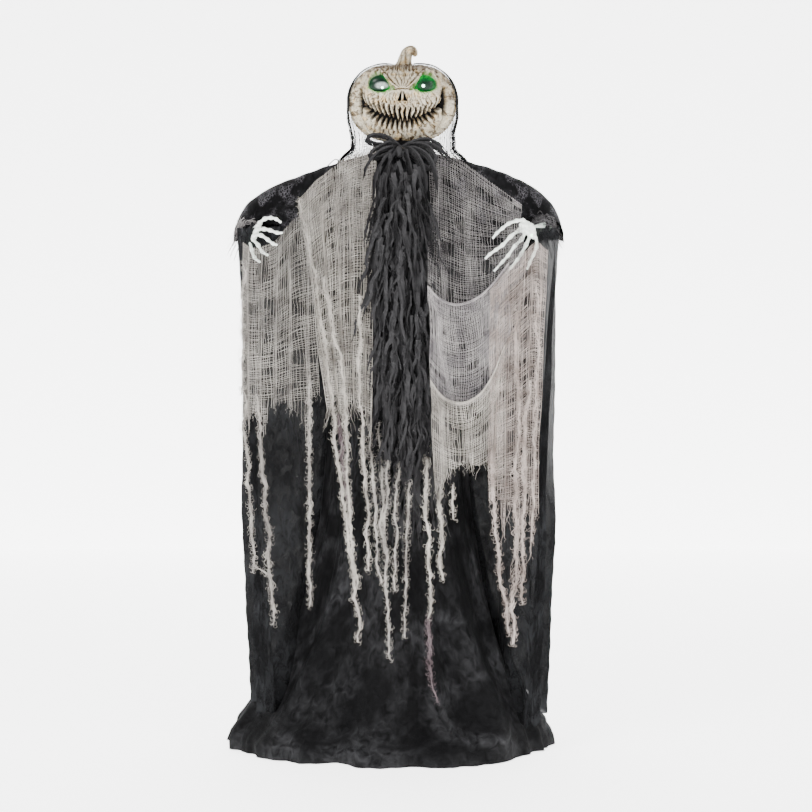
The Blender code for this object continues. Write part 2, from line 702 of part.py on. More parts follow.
# ---------------------------------------------------------------- control box

def build_control_box():
    """Battery and sound box behind the pole, with its cover, door, switch and test button."""
    low = Vector((-BOX_HALF_X, BOX_Y[0], BOX_Z[0]))
    high = Vector((BOX_HALF_X, BOX_Y[1], BOX_Z[1]))
    wall = Vector((BOX_WALL,) * 3)
    case = boxes("control_case", [(low, high)], CASE_PLASTIC)
    room_high = high - wall
    room_high.y = high.y + 0.01
    boolean(case, boxes("case_room", [(low + wall, room_high)], RUBBER))
    middle = (BOX_Z[0] + BOX_Z[1]) / 2
    boolean(case, rod("pole_clip", (0, 0, middle - 0.02), (0, 0, middle + 0.02), 0.0175, CASE_PLASTIC, 24),
            "UNION")
    boolean(case, rod("clip_bore", (0, 0, middle - 0.1), (0, 0, middle + 0.1), POLE_R + GAP, RUBBER, 24))
    boolean(case, boxes("clip_mouth", [((-0.008, -0.03, middle - 0.03), (0.008, 0.0, middle + 0.03))],
                        RUBBER))
    cover_y = (BOX_Y[1] + GAP, BOX_Y[1] + COVER)
    cover = boxes("control_cover", [((low.x, cover_y[0], low.z), (high.x, cover_y[1], high.z))], CASE_PLASTIC)
    door_low = (-0.040, BOX_Z[0] + 0.012)
    door_high = (0.040, BOX_Z[0] + 0.068)
    boolean(cover, boxes("door_hole", [((door_low[0] - GAP, cover_y[0] - 0.01, door_low[1] - GAP),
            (door_high[0] + GAP, cover_y[1] + 0.01, door_high[1] + GAP))], RUBBER))
    door = boxes("battery_door", [((door_low[0], cover_y[0], door_low[1]),
                 (door_high[0], cover_y[1], door_high[1]))], CASE_PLASTIC)
    hang_on("door_axis", (0.0, cover_y[1], door_low[1]), door)
    switch_z = BOX_Z[1] - 0.022
    boolean(cover, boxes("switch_slot", [((-0.0465, cover_y[0] - 0.01, switch_z - 0.004),
            (-0.0335, cover_y[1] + 0.01, switch_z + 0.004))], RUBBER))
    switch = boxes("slide_switch", [((-0.0460, cover_y[0] - 0.002, switch_z - 0.0035),
                   (-0.0400, cover_y[1] + 0.003, switch_z + 0.0035))], RUBBER)
    hang_on("switch_axis", (-0.0430, cover_y[1], switch_z), switch)
    boolean(cover, rods("button_hole", [((0.040, cover_y[0] - 0.01, switch_z),
            (0.040, cover_y[1] + 0.01, switch_z), 0.0052)], RUBBER, 20))
    button = rods("test_button", [((0.040, cover_y[0] - 0.003, switch_z),
                  (0.040, cover_y[1] + 0.0035, switch_z), 0.0048)], BUTTON_RED, 20)
    hang_on("button_axis", (0.040, cover_y[1], switch_z), button)
    grille = [((x, cover_y[0] - 0.01, switch_z + z), (x, cover_y[1] + 0.01, switch_z + z), 0.0016)
              for x in (-0.012, 0.0, 0.012) for z in (-0.008, 0.0, 0.008)]
    boolean(cover, rods("sound_holes", grille, RUBBER, 8))
    rods("speaker", [((0, BOX_Y[0] + 0.022, switch_z), (0, cover_y[0] - 0.001, switch_z), 0.0170)], DARK, 24)
    pack = rod("battery_pack", (0, BOX_Y[0] + 0.018, BOX_Z[0] + 0.014),
               (0, BOX_Y[0] + 0.018, BOX_Z[0] + 0.0645), CELL_R, CELL, 16)
    for side in (-1, 1):
        x = side * (2 * CELL_R - 0.0005)
        boolean(pack, rod(f"outer_cell_{side + 1}", (x, BOX_Y[0] + 0.018, BOX_Z[0] + 0.0145),
                          (x, BOX_Y[0] + 0.018, BOX_Z[0] + 0.0640), CELL_R, CELL, 16), "UNION")
    boxes("circuit_board", [((-0.045, BOX_Y[0] + 0.006, BOX_Z[0] + 0.076),
          (0.045, BOX_Y[0] + 0.0076, BOX_Z[1] - 0.006))], BOARD)
    route = [(0.036, 0.040, BOX_Z[1] + 0.0006), (0.036, 0.040, 1.190), (0.030, 0.034, 1.300),
             (0.026, 0.030, 1.450), (0.028, 0.030, 1.600), (0.027, 0.036, 1.700), (0.026, 0.038, 1.740),
             (0.026, 0.038, CASE_Z[0] - 0.0006)]
    wire("motor_cable", smooth_path(route, 3), 0.0022, RUBBER)


# ---------------------------------------------------------------- cloth

def hem_radius(angle):
    """The hem's reach at an angle: an oval that is pulled out front right and to the left."""
    x = HEM_HALF.x * math.cos(angle)
    y = HEM_HALF.y * math.sin(angle)
    front = math.exp(-((angle - math.radians(302)) / 0.36) ** 2)
    left = math.exp(-((angle - math.radians(180)) / 0.40) ** 2)
    return Vector((x * (1 + 0.03 * left), y * (1 + 0.10 * front), 0.0))


def robe_share(height):
    """The robe's width at a height, over its width at the hem."""
    return WAIST_SHARE + (1 - WAIST_SHARE) / (1 + (height / FLARE_HEIGHT) ** 1.6)


def robe_point(u, height):
    """A point of the robe's skirt."""
    share = robe_share(height)
    centre = HEM_CENTRE * share
    point = centre + hem_radius(2 * math.pi * u) * share
    point.z = height
    return point


def build_robe():
    """The robe's skirt and body, open at the hem and at the shoulders."""
    levels = (0.0, 0.10, 0.26, 0.50, 0.85, 1.25, ROBE_TOP)
    bm = bmesh.new()
    loop = bmesh.ops.create_circle(bm, cap_ends=False, segments=ROBE_COLUMNS, radius=1.0)["verts"]
    edges = list(bm.edges)
    for k, vert in enumerate(loop):
        vert.co = robe_point(k / ROBE_COLUMNS, levels[0])
    for level in levels[1:]:
        grown = bmesh.ops.extrude_edge_only(bm, edges=edges)["geom"]
        verts = [g for g in grown if isinstance(g, bmesh.types.BMVert)]
        edges = [g for g in grown if isinstance(g, bmesh.types.BMEdge)
                 and all(v in verts for v in g.verts)]
        for vert in verts:
            angle = robe_angle(vert.co)
            vert.co = robe_point(angle / (2 * math.pi), level)
    bmesh.ops.recalc_face_normals(bm, faces=bm.faces)
    robe = from_bmesh("robe_body", bm, BLACK_CLOTH, smooth=True)
    modifier = robe.modifiers.new("wall", "SOLIDIFY")
    modifier.thickness = CLOTH
    modifier.offset = -1.0


def robe_angle(point):
    """The hem angle of a point made by robe_point."""
    best = min(range(ROBE_COLUMNS), key=lambda k: (robe_point(k / ROBE_COLUMNS, point.z) - point).length)
    return 2 * math.pi * best / ROBE_COLUMNS


def build_sleeves():
    """Wide sleeves round the arms, open at the shoulder and at the cuff."""
    for name in SIDES:
        line = arm_line(name)
        side = SIDES[name]
        middle = [Vector(p) - Vector((0, 0, 0.008)) for p in line[1:-1]]
        path = smooth_path([(side * 0.085, 0.0, 1.722), *middle], 2)
        count = len(path)
        radii = [mix(1.0, 0.92, k / (count - 1)) for k in range(count)]
        sleeve = as_mesh(wire(f"sleeve_{name}", path, 0.050, BLACK_CLOTH, radii, capped=False, resolution=2))
        solidify(sleeve, 0.004)


def wing_point(name):
    """The sheer outer curtain under an arm, from its front edge round the cuff to its back."""
    side = SIDES[name]
    reach = abs(WRISTS[name].x)
    lean = 0.034 if name == "left" else 0.0

    def point(u, v):
        top = smooth_at([(reach - 0.060, -0.292, 1.430), (reach + 0.040, -0.292, 1.445),
                         (reach + 0.085, -0.205, 1.470), (reach + 0.055, -0.085, 1.560),
                         (0.330, 0.035, 1.630), (0.215, 0.085, 1.665)], u)
        low = smooth_at([(0.300, -0.340, 0.330), (0.380, -0.320, 0.320), (0.422 + lean, -0.200, 0.310),
                         (0.424 + lean, -0.050, 0.320), (0.355 + lean, 0.140, 0.340),
                         (0.250 + lean, 0.240, 0.350)], u)
        at = top.lerp(low, v)
        at.x *= side
        return at
    return point


def smooth_at(points, u):
    """The point at a share of a smooth curve through points."""
    path = smooth_path(points, 6)
    place = u * (len(path) - 1)
    k = min(int(place), len(path) - 2)
    return path[k].lerp(path[k + 1], place - k)


def veil_point(u, v):
    """The net hood behind the head, from the crown down to the shoulders."""
    angle = math.radians(mix(-14, 194, u))
    radius, height = profile_at([(0.052, 2.094), (0.110, 2.098), (0.160, 2.076), (0.188, 2.020),
                                 (0.190, 1.940), (0.186, 1.860), (0.196, 1.800)], v)
    return Vector((0.005 + radius * math.cos(angle), -0.030 + radius * 0.98 * math.sin(angle), height))


def profile_at(points, v):
    """A point of a polyline by its share of the steps."""
    place = v * (len(points) - 1)
    k = min(int(place), len(points) - 2)
    share = place - k
    return (mix(points[k][0], points[k + 1][0], share), mix(points[k][1], points[k + 1][1], share))


def drop(top, low, bow):
    """A hanging panel between a top edge and a low edge, bowed towards the front."""
    def point(u, v):
        at = smooth_at(top, u).lerp(smooth_at(low, u), v)
        at.y -= bow * math.sin(math.pi * v)
        return at
    return point


def build_drapes():
    """Wings, veil, ribbons, gauze panels and frayed strands."""
    for name in SIDES:
        panel(f"wing_{name}", wing_point(name), 14, 4, SHEER_CLOTH)
    panel("hood_veil", veil_point, 16, 6, NET, 0.003)

    panel("gauze_left_panel", drop(
        [(-0.478, -0.318, 1.455), (-0.400, -0.330, 1.440), (-0.300, -0.318, 1.440), (-0.235, -0.300, 1.455)],
        [(-0.462, -0.345, 1.030), (-0.400, -0.350, 1.020), (-0.320, -0.345, 1.020), (-0.240, -0.330, 1.030)],
        0.010), 8, 4, GAUZE)
    panel("gauze_left_chest", drop(
        [(-0.330, -0.120, 1.690), (-0.230, -0.100, 1.752), (-0.150, -0.095, 1.775), (-0.095, -0.100, 1.790)],
        [(-0.228, -0.240, 1.040), (-0.190, -0.250, 0.990), (-0.150, -0.250, 0.950), (-0.105, -0.245, 0.930)],
        0.020), 6, 6, GAUZE)
    panel("gauze_right_chest", drop(
        [(0.105, -0.100, 1.790), (0.170, -0.095, 1.772), (0.260, -0.105, 1.735), (0.330, -0.125, 1.690)],
        [(0.130, -0.255, 0.770), (0.170, -0.262, 0.750), (0.240, -0.262, 0.750), (0.300, -0.255, 0.770)],
        0.030), 8, 7, GAUZE)
    panel("gauze_right_column", drop(
        [(0.250, -0.300, 1.400), (0.310, -0.308, 1.430), (0.370, -0.306, 1.410), (0.425, -0.318, 1.440)],
        [(0.262, -0.345, 0.480), (0.300, -0.350, 0.470), (0.340, -0.350, 0.470), (0.380, -0.345, 0.480)],
        0.006), 6, 5, GAUZE)

    tie = bmesh.new()
    bmesh.ops.create_circle(tie, cap_ends=False, segments=8, radius=0.011)
    bmesh.ops.transform(tie, matrix=Matrix.Translation((0.084, 0, 0)) @ Matrix.Rotation(math.pi / 2, 4, "X"),
                        verts=tie.verts)
    bmesh.ops.spin(tie, geom=list(tie.verts) + list(tie.edges), cent=(0, 0, 0), axis=(0, 0, 1),
                   angle=2 * math.pi, steps=20, use_merge=True)
    bmesh.ops.recalc_face_normals(tie, faces=tie.faces)
    bmesh.ops.translate(tie, verts=tie.verts, vec=(0.0, 0.005, 1.7905))
    from_bmesh("ribbon_tie", tie, RIBBON, smooth=True)

    def bundle_point(u, v):
        angle = 2 * math.pi * u
        width, depth = profile_at([(0.045, 0.018), (0.085, 0.026), (0.094, 0.028), (0.090, 0.028),
                                   (0.080, 0.026), (0.062, 0.020)], v)
        centre_x = mix(-0.004, 0.026, v)
        centre_y = profile_at([(-0.165, 0), (-0.216, 0), (-0.236, 0), (-0.246, 0), (-0.250, 0),
                               (-0.252, 0)], v)[0]
        return Vector((centre_x + width * math.cos(angle), centre_y - depth * math.sin(angle),
                       mix(1.775, 0.770, v)))

    bm = bmesh.new()
    rings = 6
    around = 12
    loop = bmesh.ops.create_circle(bm, cap_ends=True, segments=around, radius=1.0)["verts"]
    edges = list(bm.edges)
    for k, vert in enumerate(loop):
        vert.co = bundle_point(k / around, 0.0)
    order = list(loop)
    for level in range(1, rings):
        grown = bmesh.ops.extrude_edge_only(bm, edges=edges)["geom"]
        verts = [g for g in grown if isinstance(g, bmesh.types.BMVert)]
        edges = [g for g in grown if isinstance(g, bmesh.types.BMEdge)
                 and all(v in verts for v in g.verts)]
        nearest = {vert: min(range(around), key=lambda k: (order[k].co - vert.co).length) for vert in verts}
        fresh = sorted(verts, key=lambda vert: nearest[vert])
        for k, vert in enumerate(fresh):
            vert.co = bundle_point(k / around, level / (rings - 1))
        order = fresh
    bmesh.ops.contextual_create(bm, geom=edges)
    bmesh.ops.recalc_face_normals(bm, faces=bm.faces)
    from_bmesh("ribbon_bundle", bm, RIBBON, smooth=True)


# Frayed ends of torn gauze below each piece: (x, depth at the top, depth at the end, top, end)
STRANDS = {
    "gauze_left_panel": ((-0.418, -0.350, -0.352, 1.040, 0.554), (-0.363, -0.350, -0.352, 1.040, 0.410),
                         (-0.262, -0.340, -0.345, 1.045, 0.450)),
    "gauze_left_chest": ((-0.190, -0.250, -0.290, 1.020, 0.520), (-0.134, -0.250, -0.312, 0.960, 0.349)),
    "ribbon_bundle": ((-0.022, -0.254, -0.318, 0.800, 0.303), (0.028, -0.254, -0.318, 0.800, 0.364)),
    "gauze_right_chest": ((0.138, -0.258, -0.372, 0.790, 0.190), (0.180, -0.266, -0.300, 0.780, 0.525)),
    "gauze_right_column": ((0.288, -0.350, -0.355, 0.500, 0.381), (0.317, -0.352, -0.356, 0.500, 0.355),
                           (0.357, -0.348, -0.352, 0.500, 0.440)),
}
STRAND_R = 0.0075


def build_strands():
    """Twisted strands of torn gauze, as plain rods joined to the piece that they hang from."""
    for name, runs in STRANDS.items():
        for k, (x, top_y, end_y, top, end) in enumerate(runs):
            strand = rod(f"strand_{name}_{k}", (x, end_y, end), (x, top_y, top), STRAND_R, GAUZE, 8)
            boolean(PARTS.objects[name], strand, "UNION")


# ---------------------------------------------------------------- the figure

for old in list(bpy.data.objects):
    bpy.data.objects.remove(old)

PARTS = collection("pumpkin_reaper_figure")
CUTTERS = collection("cutters")

STEEL_PAINT = material("black_painted_steel", (0.02, 0.02, 0.02), 0.45, 0.6)
ZINC = material("zinc_plated_steel", (0.55, 0.55, 0.52), 0.35, 1.0)
HUB_PLASTIC = material("black_nylon", (0.015, 0.015, 0.015), 0.55)
RUBBER = material("black_rubber", (0.01, 0.01, 0.01), 0.8)
CASE_PLASTIC = material("black_abs", (0.02, 0.02, 0.022), 0.5)
NYLON = material("white_nylon", (0.75, 0.74, 0.70), 0.45)
BUTTON_RED = material("red_abs", (0.45, 0.02, 0.02), 0.4)
CELL = material("battery_sleeve", (0.05, 0.05, 0.06), 0.35, 0.3)
BOARD = material("green_circuit_board", (0.02, 0.14, 0.05), 0.4)
DARK = material("dark_plastic", (0.012, 0.012, 0.013), 0.7)
PUMPKIN = material("painted_pumpkin_foam", (0.62, 0.53, 0.38), 0.65)
STALK = material("painted_stem", (0.55, 0.45, 0.32), 0.7)
LENS = material("green_lens", (0.0, 0.55, 0.10), 0.1)
BONE = material("pale_bone_plastic", (0.85, 0.88, 0.82), 0.45)
BLACK_CLOTH = material("black_cloth", (0.012, 0.012, 0.012), 0.9)
SHEER_CLOTH = material("sheer_black_cloth", (0.02, 0.02, 0.02), 0.9)
NET = material("black_net", (0.01, 0.01, 0.01), 0.9)
GAUZE = material("grey_gauze", (0.45, 0.42, 0.38), 0.95)
RIBBON = material("black_ribbon", (0.025, 0.022, 0.026), 0.6)

build_base()
build_pole()
build_shoulders()
build_arms()
build_head(build_neck_drive())
build_control_box()
build_robe()
build_sleeves()
build_drapes()
build_strands()
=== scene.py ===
"""Pumpkin-headed reaper: carved foam head, bone hands, black robe, ribbons and torn gauze."""
import json
import math
import random

import bmesh
import bpy
import numpy as np
from mathutils import Matrix, Vector, noise


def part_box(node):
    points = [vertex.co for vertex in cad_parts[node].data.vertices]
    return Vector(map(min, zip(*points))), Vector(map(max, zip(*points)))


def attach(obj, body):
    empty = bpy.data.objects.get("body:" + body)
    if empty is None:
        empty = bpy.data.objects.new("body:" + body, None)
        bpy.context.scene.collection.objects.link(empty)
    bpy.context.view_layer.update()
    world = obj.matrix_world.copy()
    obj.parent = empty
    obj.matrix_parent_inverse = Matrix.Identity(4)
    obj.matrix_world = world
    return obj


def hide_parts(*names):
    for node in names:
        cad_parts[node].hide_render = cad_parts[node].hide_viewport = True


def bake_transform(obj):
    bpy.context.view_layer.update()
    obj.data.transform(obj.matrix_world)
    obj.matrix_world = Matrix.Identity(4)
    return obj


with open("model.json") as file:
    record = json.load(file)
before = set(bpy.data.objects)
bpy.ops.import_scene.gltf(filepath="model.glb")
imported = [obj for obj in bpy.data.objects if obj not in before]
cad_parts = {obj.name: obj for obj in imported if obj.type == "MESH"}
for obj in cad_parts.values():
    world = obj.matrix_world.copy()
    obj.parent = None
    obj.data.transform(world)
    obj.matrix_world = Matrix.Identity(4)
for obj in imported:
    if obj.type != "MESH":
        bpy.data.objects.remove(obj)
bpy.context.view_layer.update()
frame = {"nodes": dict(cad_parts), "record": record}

MM = 0.001
LACE_CELL = 7.5 * MM
SIDES = {"left": -1.0, "right": 1.0}


# ---------------------------------------------------------------- small helpers

def linear(code):
    """An sRGB hex colour as linear RGBA."""
    parts = [int(code[k:k + 2], 16) / 255 for k in (1, 3, 5)]
    return [p / 12.92 if p <= 0.04045 else ((p + 0.055) / 1.055) ** 2.4 for p in parts] + [1.0]


def add(tree, kind, settings=None, **inputs):
    """Adds a node: settings are its properties, inputs its sockets, by name or as _index."""
    made = tree.nodes.new(kind)
    for key, value in (settings or {}).items():
        setattr(made, key, value)
    for key, value in inputs.items():
        socket = made.inputs[int(key[1:]) if key[1:].isdigit() else key.replace("_", " ")]
        if isinstance(value, bpy.types.NodeSocket):
            tree.links.new(value, socket)
        else:
            socket.default_value = value
    return made


def material(name, **sockets):
    """A Principled material, with its tree and shader node."""
    made = bpy.data.materials.new(name)
    made.use_nodes = True
    shader = made.node_tree.nodes["Principled BSDF"]
    for key, value in sockets.items():
        shader.inputs[key.replace("_", " ")].default_value = value
    return made, made.node_tree, shader


def mix(low, high, share):
    """A value between two others."""
    return low + (high - low) * share


def smooth(low, high, value):
    """0 below low, 1 above high and an S curve between, for numbers and arrays."""
    share = np.clip((value - low) / (high - low), 0.0, 1.0)
    return share * share * (3 - 2 * share)


def wander(x, y=0.0, z=0.0):
    """Smooth noise from -1 to 1."""
    return noise.noise(Vector((x, y, z)))


def between(points, share):
    """The point at a share of a smooth curve through points."""
    points = [Vector(p) for p in points]
    ends = [2 * points[0] - points[1], *points, 2 * points[-1] - points[-2]]
    place = min(max(share, 0.0), 0.99999) * (len(points) - 1)
    k = int(place)
    t = place - k
    a, b, c, d = ends[k:k + 4]
    return 0.5 * (2 * b + (c - a) * t + (2 * a - 5 * b + 4 * c - d) * t * t
                  + (3 * b - a - 3 * c + d) * t ** 3)


def link(name, data, skin):
    """An object of this mesh or curve in the scene, with its material."""
    made = bpy.data.objects.new(name, data)
    data.materials.append(skin)
    bpy.context.scene.collection.objects.link(made)
    return made


def from_bmesh(name, bm, skin, smooth_shaded=True):
    """An object of this bmesh, which is freed."""
    mesh = bpy.data.meshes.new(name)
    bm.to_mesh(mesh)
    bm.free()
    if smooth_shaded:
        mesh.shade_smooth()
    return link(name, mesh, skin)


def cloth(name, columns, rows, place, size, skin):
    """A sheet: place(u, v) gives its points, v down, and its weave UVs are in metres of cloth."""
    bm = bmesh.new()
    bmesh.ops.create_grid(bm, x_segments=columns, y_segments=rows, size=0.5)
    uv = bm.loops.layers.uv.new("weave")
    for face in bm.faces:
        for loop in face.loops:
            at = loop.vert.co
            loop[uv].uv = ((at.x + 0.5) * size[0], (0.5 - at.y) * size[1])
    for vert in bm.verts:
        vert.co = place(vert.co.x + 0.5, 0.5 - vert.co.y)
    return from_bmesh(name, bm, skin)


def threads(name, paths, radius, skin, resolution=0):
    """Many thin round threads as one mesh. A path is a list of points, or of (point, thickness)."""
    curve = bpy.data.curves.new(name, "CURVE")
    curve.dimensions = "3D"
    curve.bevel_depth = radius
    curve.bevel_resolution = resolution
    curve.use_fill_caps = True
    for path in paths:
        if len(path) < 2:
            continue
        spline = curve.splines.new("POLY")
        spline.points.add(len(path) - 1)
        if isinstance(path[0], tuple):
            spline.points.foreach_set("co", [c for p, _ in path for c in (*p, 1.0)])
            spline.points.foreach_set("radius", [r for _, r in path])
        else:
            spline.points.foreach_set("co", [c for p in path for c in (*p, 1.0)])
    shape = bpy.data.objects.new(name + "_curve", curve)
    bpy.context.scene.collection.objects.link(shape)
    evaluated = shape.evaluated_get(bpy.context.evaluated_depsgraph_get())
    mesh = bpy.data.meshes.new_from_object(evaluated)
    bpy.data.objects.remove(shape)
    mesh.materials.clear()
    mesh.shade_smooth()
    return link(name, mesh, skin)


# ---------------------------------------------------------------- materials

def pumpkin_paint():
    """Cream paint on foam. The brown in its grooves is brown wash with painted shade, the mouth and the
    carved openings are painted near black as the black liner with painted shade, and painted green light of
    the eye LEDs lies round the sockets.
    """
    made, tree, shader = material("cream_foam_paint_with_brown_wash_and_painted_shade", Specular_IOR_Level=0.15)
    where = add(tree, "ShaderNodeTexCoord").outputs["Object"]
    cloudy = add(tree, "ShaderNodeTexNoise", None, Vector=where, Scale=1 / (50 * MM), Detail=5.0)
    base = add(tree, "ShaderNodeMix", {"data_type": "RGBA"}, _0=cloudy.outputs["Fac"],
               _6=linear("#8f8168"), _7=linear("#f0e8d2"))
    warm = add(tree, "ShaderNodeTexNoise", None, Vector=where, Scale=1 / (20 * MM), Detail=4.0)
    warmth = add(tree, "ShaderNodeMapRange", None, Value=warm.outputs["Fac"], _1=0.50, _2=0.66)
    toned = add(tree, "ShaderNodeMix", {"data_type": "RGBA"}, _0=warmth.outputs[0],
                _6=base.outputs[2], _7=linear("#d3b98c"))
    upright = add(tree, "ShaderNodeMapping", None, Vector=where, Scale=(1.0, 1.0, 0.5))
    # thin noise crease lines, grooved by the bump below and darkened brown: brown wash with painted shade
    wrinkles = add(tree, "ShaderNodeTexNoise", None, Vector=upright.outputs[0], Scale=1 / (8 * MM),
                   Detail=5.0, Distortion=1.6)
    centred = add(tree, "ShaderNodeMath", {"operation": "SUBTRACT"}, _0=wrinkles.outputs["Fac"], _1=0.5)
    crease = add(tree, "ShaderNodeMath", {"operation": "ABSOLUTE"}, _0=centred.outputs[0])
    line = add(tree, "ShaderNodeMapRange", None, Value=crease.outputs[0], _1=0.0, _2=0.034, _3=0.55, _4=0.0)
    # brown wash with painted shade at each point: in the carved grooves, the rib valleys, under the chin and
    # on the sides
    brown_wash_and_painted_shade = add(tree, "ShaderNodeAttribute", {"attribute_name": "brown_wash_and_painted_shade"})
    speck = add(tree, "ShaderNodeTexNoise", None, Vector=where, Scale=1 / (3 * MM), Detail=5.0)
    broken = add(tree, "ShaderNodeMath", {"operation": "MULTIPLY_ADD"},
                 _0=speck.outputs["Fac"], _1=1.5, _2=-0.76)
    tone_shift = add(tree, "ShaderNodeMath", {"operation": "ADD"}, _0=brown_wash_and_painted_shade.outputs["Fac"], _1=broken.outputs[0])
    wash_and_shade_amount = add(tree, "ShaderNodeMath", {"operation": "ADD", "use_clamp": True},
               _0=tone_shift.outputs[0], _1=line.outputs[0])
    # mixes in the brown of the wash and of the painted shade
    washed_and_shaded = add(tree, "ShaderNodeMix", {"data_type": "RGBA"}, _0=wash_and_shade_amount.outputs[0],
                  _6=toned.outputs[2], _7=linear("#46341f"))
    # near black where the carving opens into the head: the black liner behind the mouth, with painted shade
    # in the deep openings
    liner_black_and_painted_shade = add(tree, "ShaderNodeAttribute", {"attribute_name": "liner_black_and_painted_shade"})
    dark = add(tree, "ShaderNodeMix", {"data_type": "RGBA"}, _0=liner_black_and_painted_shade.outputs["Fac"],
               _6=washed_and_shaded.outputs[2], _7=linear("#050404"))
    tree.links.new(dark.outputs[2], shader.inputs["Base Color"])
    dull = add(tree, "ShaderNodeMapRange", None, Value=liner_black_and_painted_shade.outputs["Fac"], _3=0.66, _4=1.0)
    tree.links.new(dull.outputs[0], shader.inputs["Roughness"])
    # painted light: the eye LEDs' green light spilled on the foam round the sockets, given as emission; the
    # eye domes use the same attribute for their own LED light
    led_light_and_painted_spill = add(tree, "ShaderNodeAttribute", {"attribute_name": "led_light_and_painted_spill"})
    green = add(tree, "ShaderNodeMix", {"data_type": "RGBA"}, _0=led_light_and_painted_spill.outputs["Fac"],
                _6=linear("#000000"), _7=linear("#00d83c"))
    tree.links.new(green.outputs[2], shader.inputs["Emission Color"])
    shader.inputs["Emission Strength"].default_value = 0.55
    grain = add(tree, "ShaderNodeTexNoise", None, Vector=where, Scale=1 / (2.2 * MM), Detail=5.0)
    height = add(tree, "ShaderNodeMath", {"operation": "MULTIPLY_ADD"}, _0=line.outputs[0], _1=-1.4,
                 _2=grain.outputs["Fac"])
    bump = add(tree, "ShaderNodeBump", None, Strength=0.7, Distance=0.0012, Height=height.outputs[0])
    tree.links.new(bump.outputs[0], shader.inputs["Normal"])
    return made


def eye_plastic():
    """Clear tinted dome lit from behind: green at its lit rim, milky or near black in the middle."""
    made, tree, shader = material("green_lit_acrylic_dome", Roughness=0.30, Specular_IOR_Level=0.16)
    where = add(tree, "ShaderNodeTexCoord").outputs["Object"]
    milk = add(tree, "ShaderNodeAttribute", {"attribute_name": "milk"})
    led_light_and_painted_spill = add(tree, "ShaderNodeAttribute", {"attribute_name": "led_light_and_painted_spill"})
    streak = add(tree, "ShaderNodeTexNoise", None, Vector=where, Scale=1 / (6 * MM), Detail=3.0)
    cloud = add(tree, "ShaderNodeMapRange", None, Value=streak.outputs["Fac"],
                _1=0.35, _2=0.65, _3=0.55, _4=1.0)
    share = add(tree, "ShaderNodeMath", {"operation": "MULTIPLY"},
                _0=milk.outputs["Fac"], _1=cloud.outputs[0])
    body = add(tree, "ShaderNodeMix", {"data_type": "RGBA"}, _0=share.outputs[0],
               _6=linear("#04150f"), _7=linear("#a3aca7"))
    tree.links.new(body.outputs[2], shader.inputs["Base Color"])
    facet = add(tree, "ShaderNodeTexVoronoi", None, Vector=where, Scale=1 / (4 * MM))
    sparkle = add(tree, "ShaderNodeMapRange", None, Value=facet.outputs["Distance"],
                  _1=0.0, _2=0.8, _3=1.3, _4=0.25)
    lit = add(tree, "ShaderNodeMath", {"operation": "MULTIPLY", "use_clamp": True}, _0=led_light_and_painted_spill.outputs["Fac"],
              _1=sparkle.outputs[0])
    colour = add(tree, "ShaderNodeMix", {"data_type": "RGBA"}, _0=lit.outputs[0],
                 _6=linear("#000000"), _7=linear("#00c43a"))
    tree.links.new(colour.outputs[2], shader.inputs["Emission Color"])
    shader.inputs["Emission Strength"].default_value = 1.35
    return made


def lamp_plastic(name, code, strength):
    """A lit LED cap: a bright core of one colour, slightly uneven."""
    made, tree, shader = material(name, Roughness=0.2)
    where = add(tree, "ShaderNodeTexCoord").outputs["Object"]
    uneven = add(tree, "ShaderNodeTexNoise", None, Vector=where, Scale=1 / (4 * MM), Detail=2.0)
    colour = add(tree, "ShaderNodeMix", {"data_type": "RGBA"}, _0=uneven.outputs["Fac"],
                 _6=linear(code), _7=linear("#ffffff"))
    tree.links.new(colour.outputs[2], shader.inputs["Emission Color"])
    tree.links.new(colour.outputs[2], shader.inputs["Base Color"])
    shader.inputs["Emission Strength"].default_value = strength
    return made


def bone_plastic():
    """Matt bone-white moulded vinyl with faint grey patches, and a faint pale green glow painted over it:
    painted light of the palm LEDs.
    """
    made, tree, shader = material("bone_white_vinyl", Roughness=0.48)
    where = add(tree, "ShaderNodeTexCoord").outputs["Object"]
    patch = add(tree, "ShaderNodeTexNoise", None, Vector=where, Scale=1 / (9 * MM), Detail=4.0)
    share = add(tree, "ShaderNodeMapRange", None, Value=patch.outputs["Fac"], _1=0.50, _2=0.75)
    colour = add(tree, "ShaderNodeMix", {"data_type": "RGBA"}, _0=share.outputs[0],
                 _6=linear("#f7faf4"), _7=linear("#c9cec4"))
    tree.links.new(colour.outputs[2], shader.inputs["Base Color"])
    pits = add(tree, "ShaderNodeTexNoise", None, Vector=where, Scale=1 / (1.6 * MM), Detail=4.0)
    bump = add(tree, "ShaderNodeBump", None, Strength=0.35, Distance=0.0006, Height=pits.outputs["Fac"])
    tree.links.new(bump.outputs[0], shader.inputs["Normal"])
    # painted light: a faint pale green glow over the bones for the palm LEDs' light on them
    shader.inputs["Emission Color"].default_value = linear("#b9ffd2")
    shader.inputs["Emission Strength"].default_value = 0.13
    return made


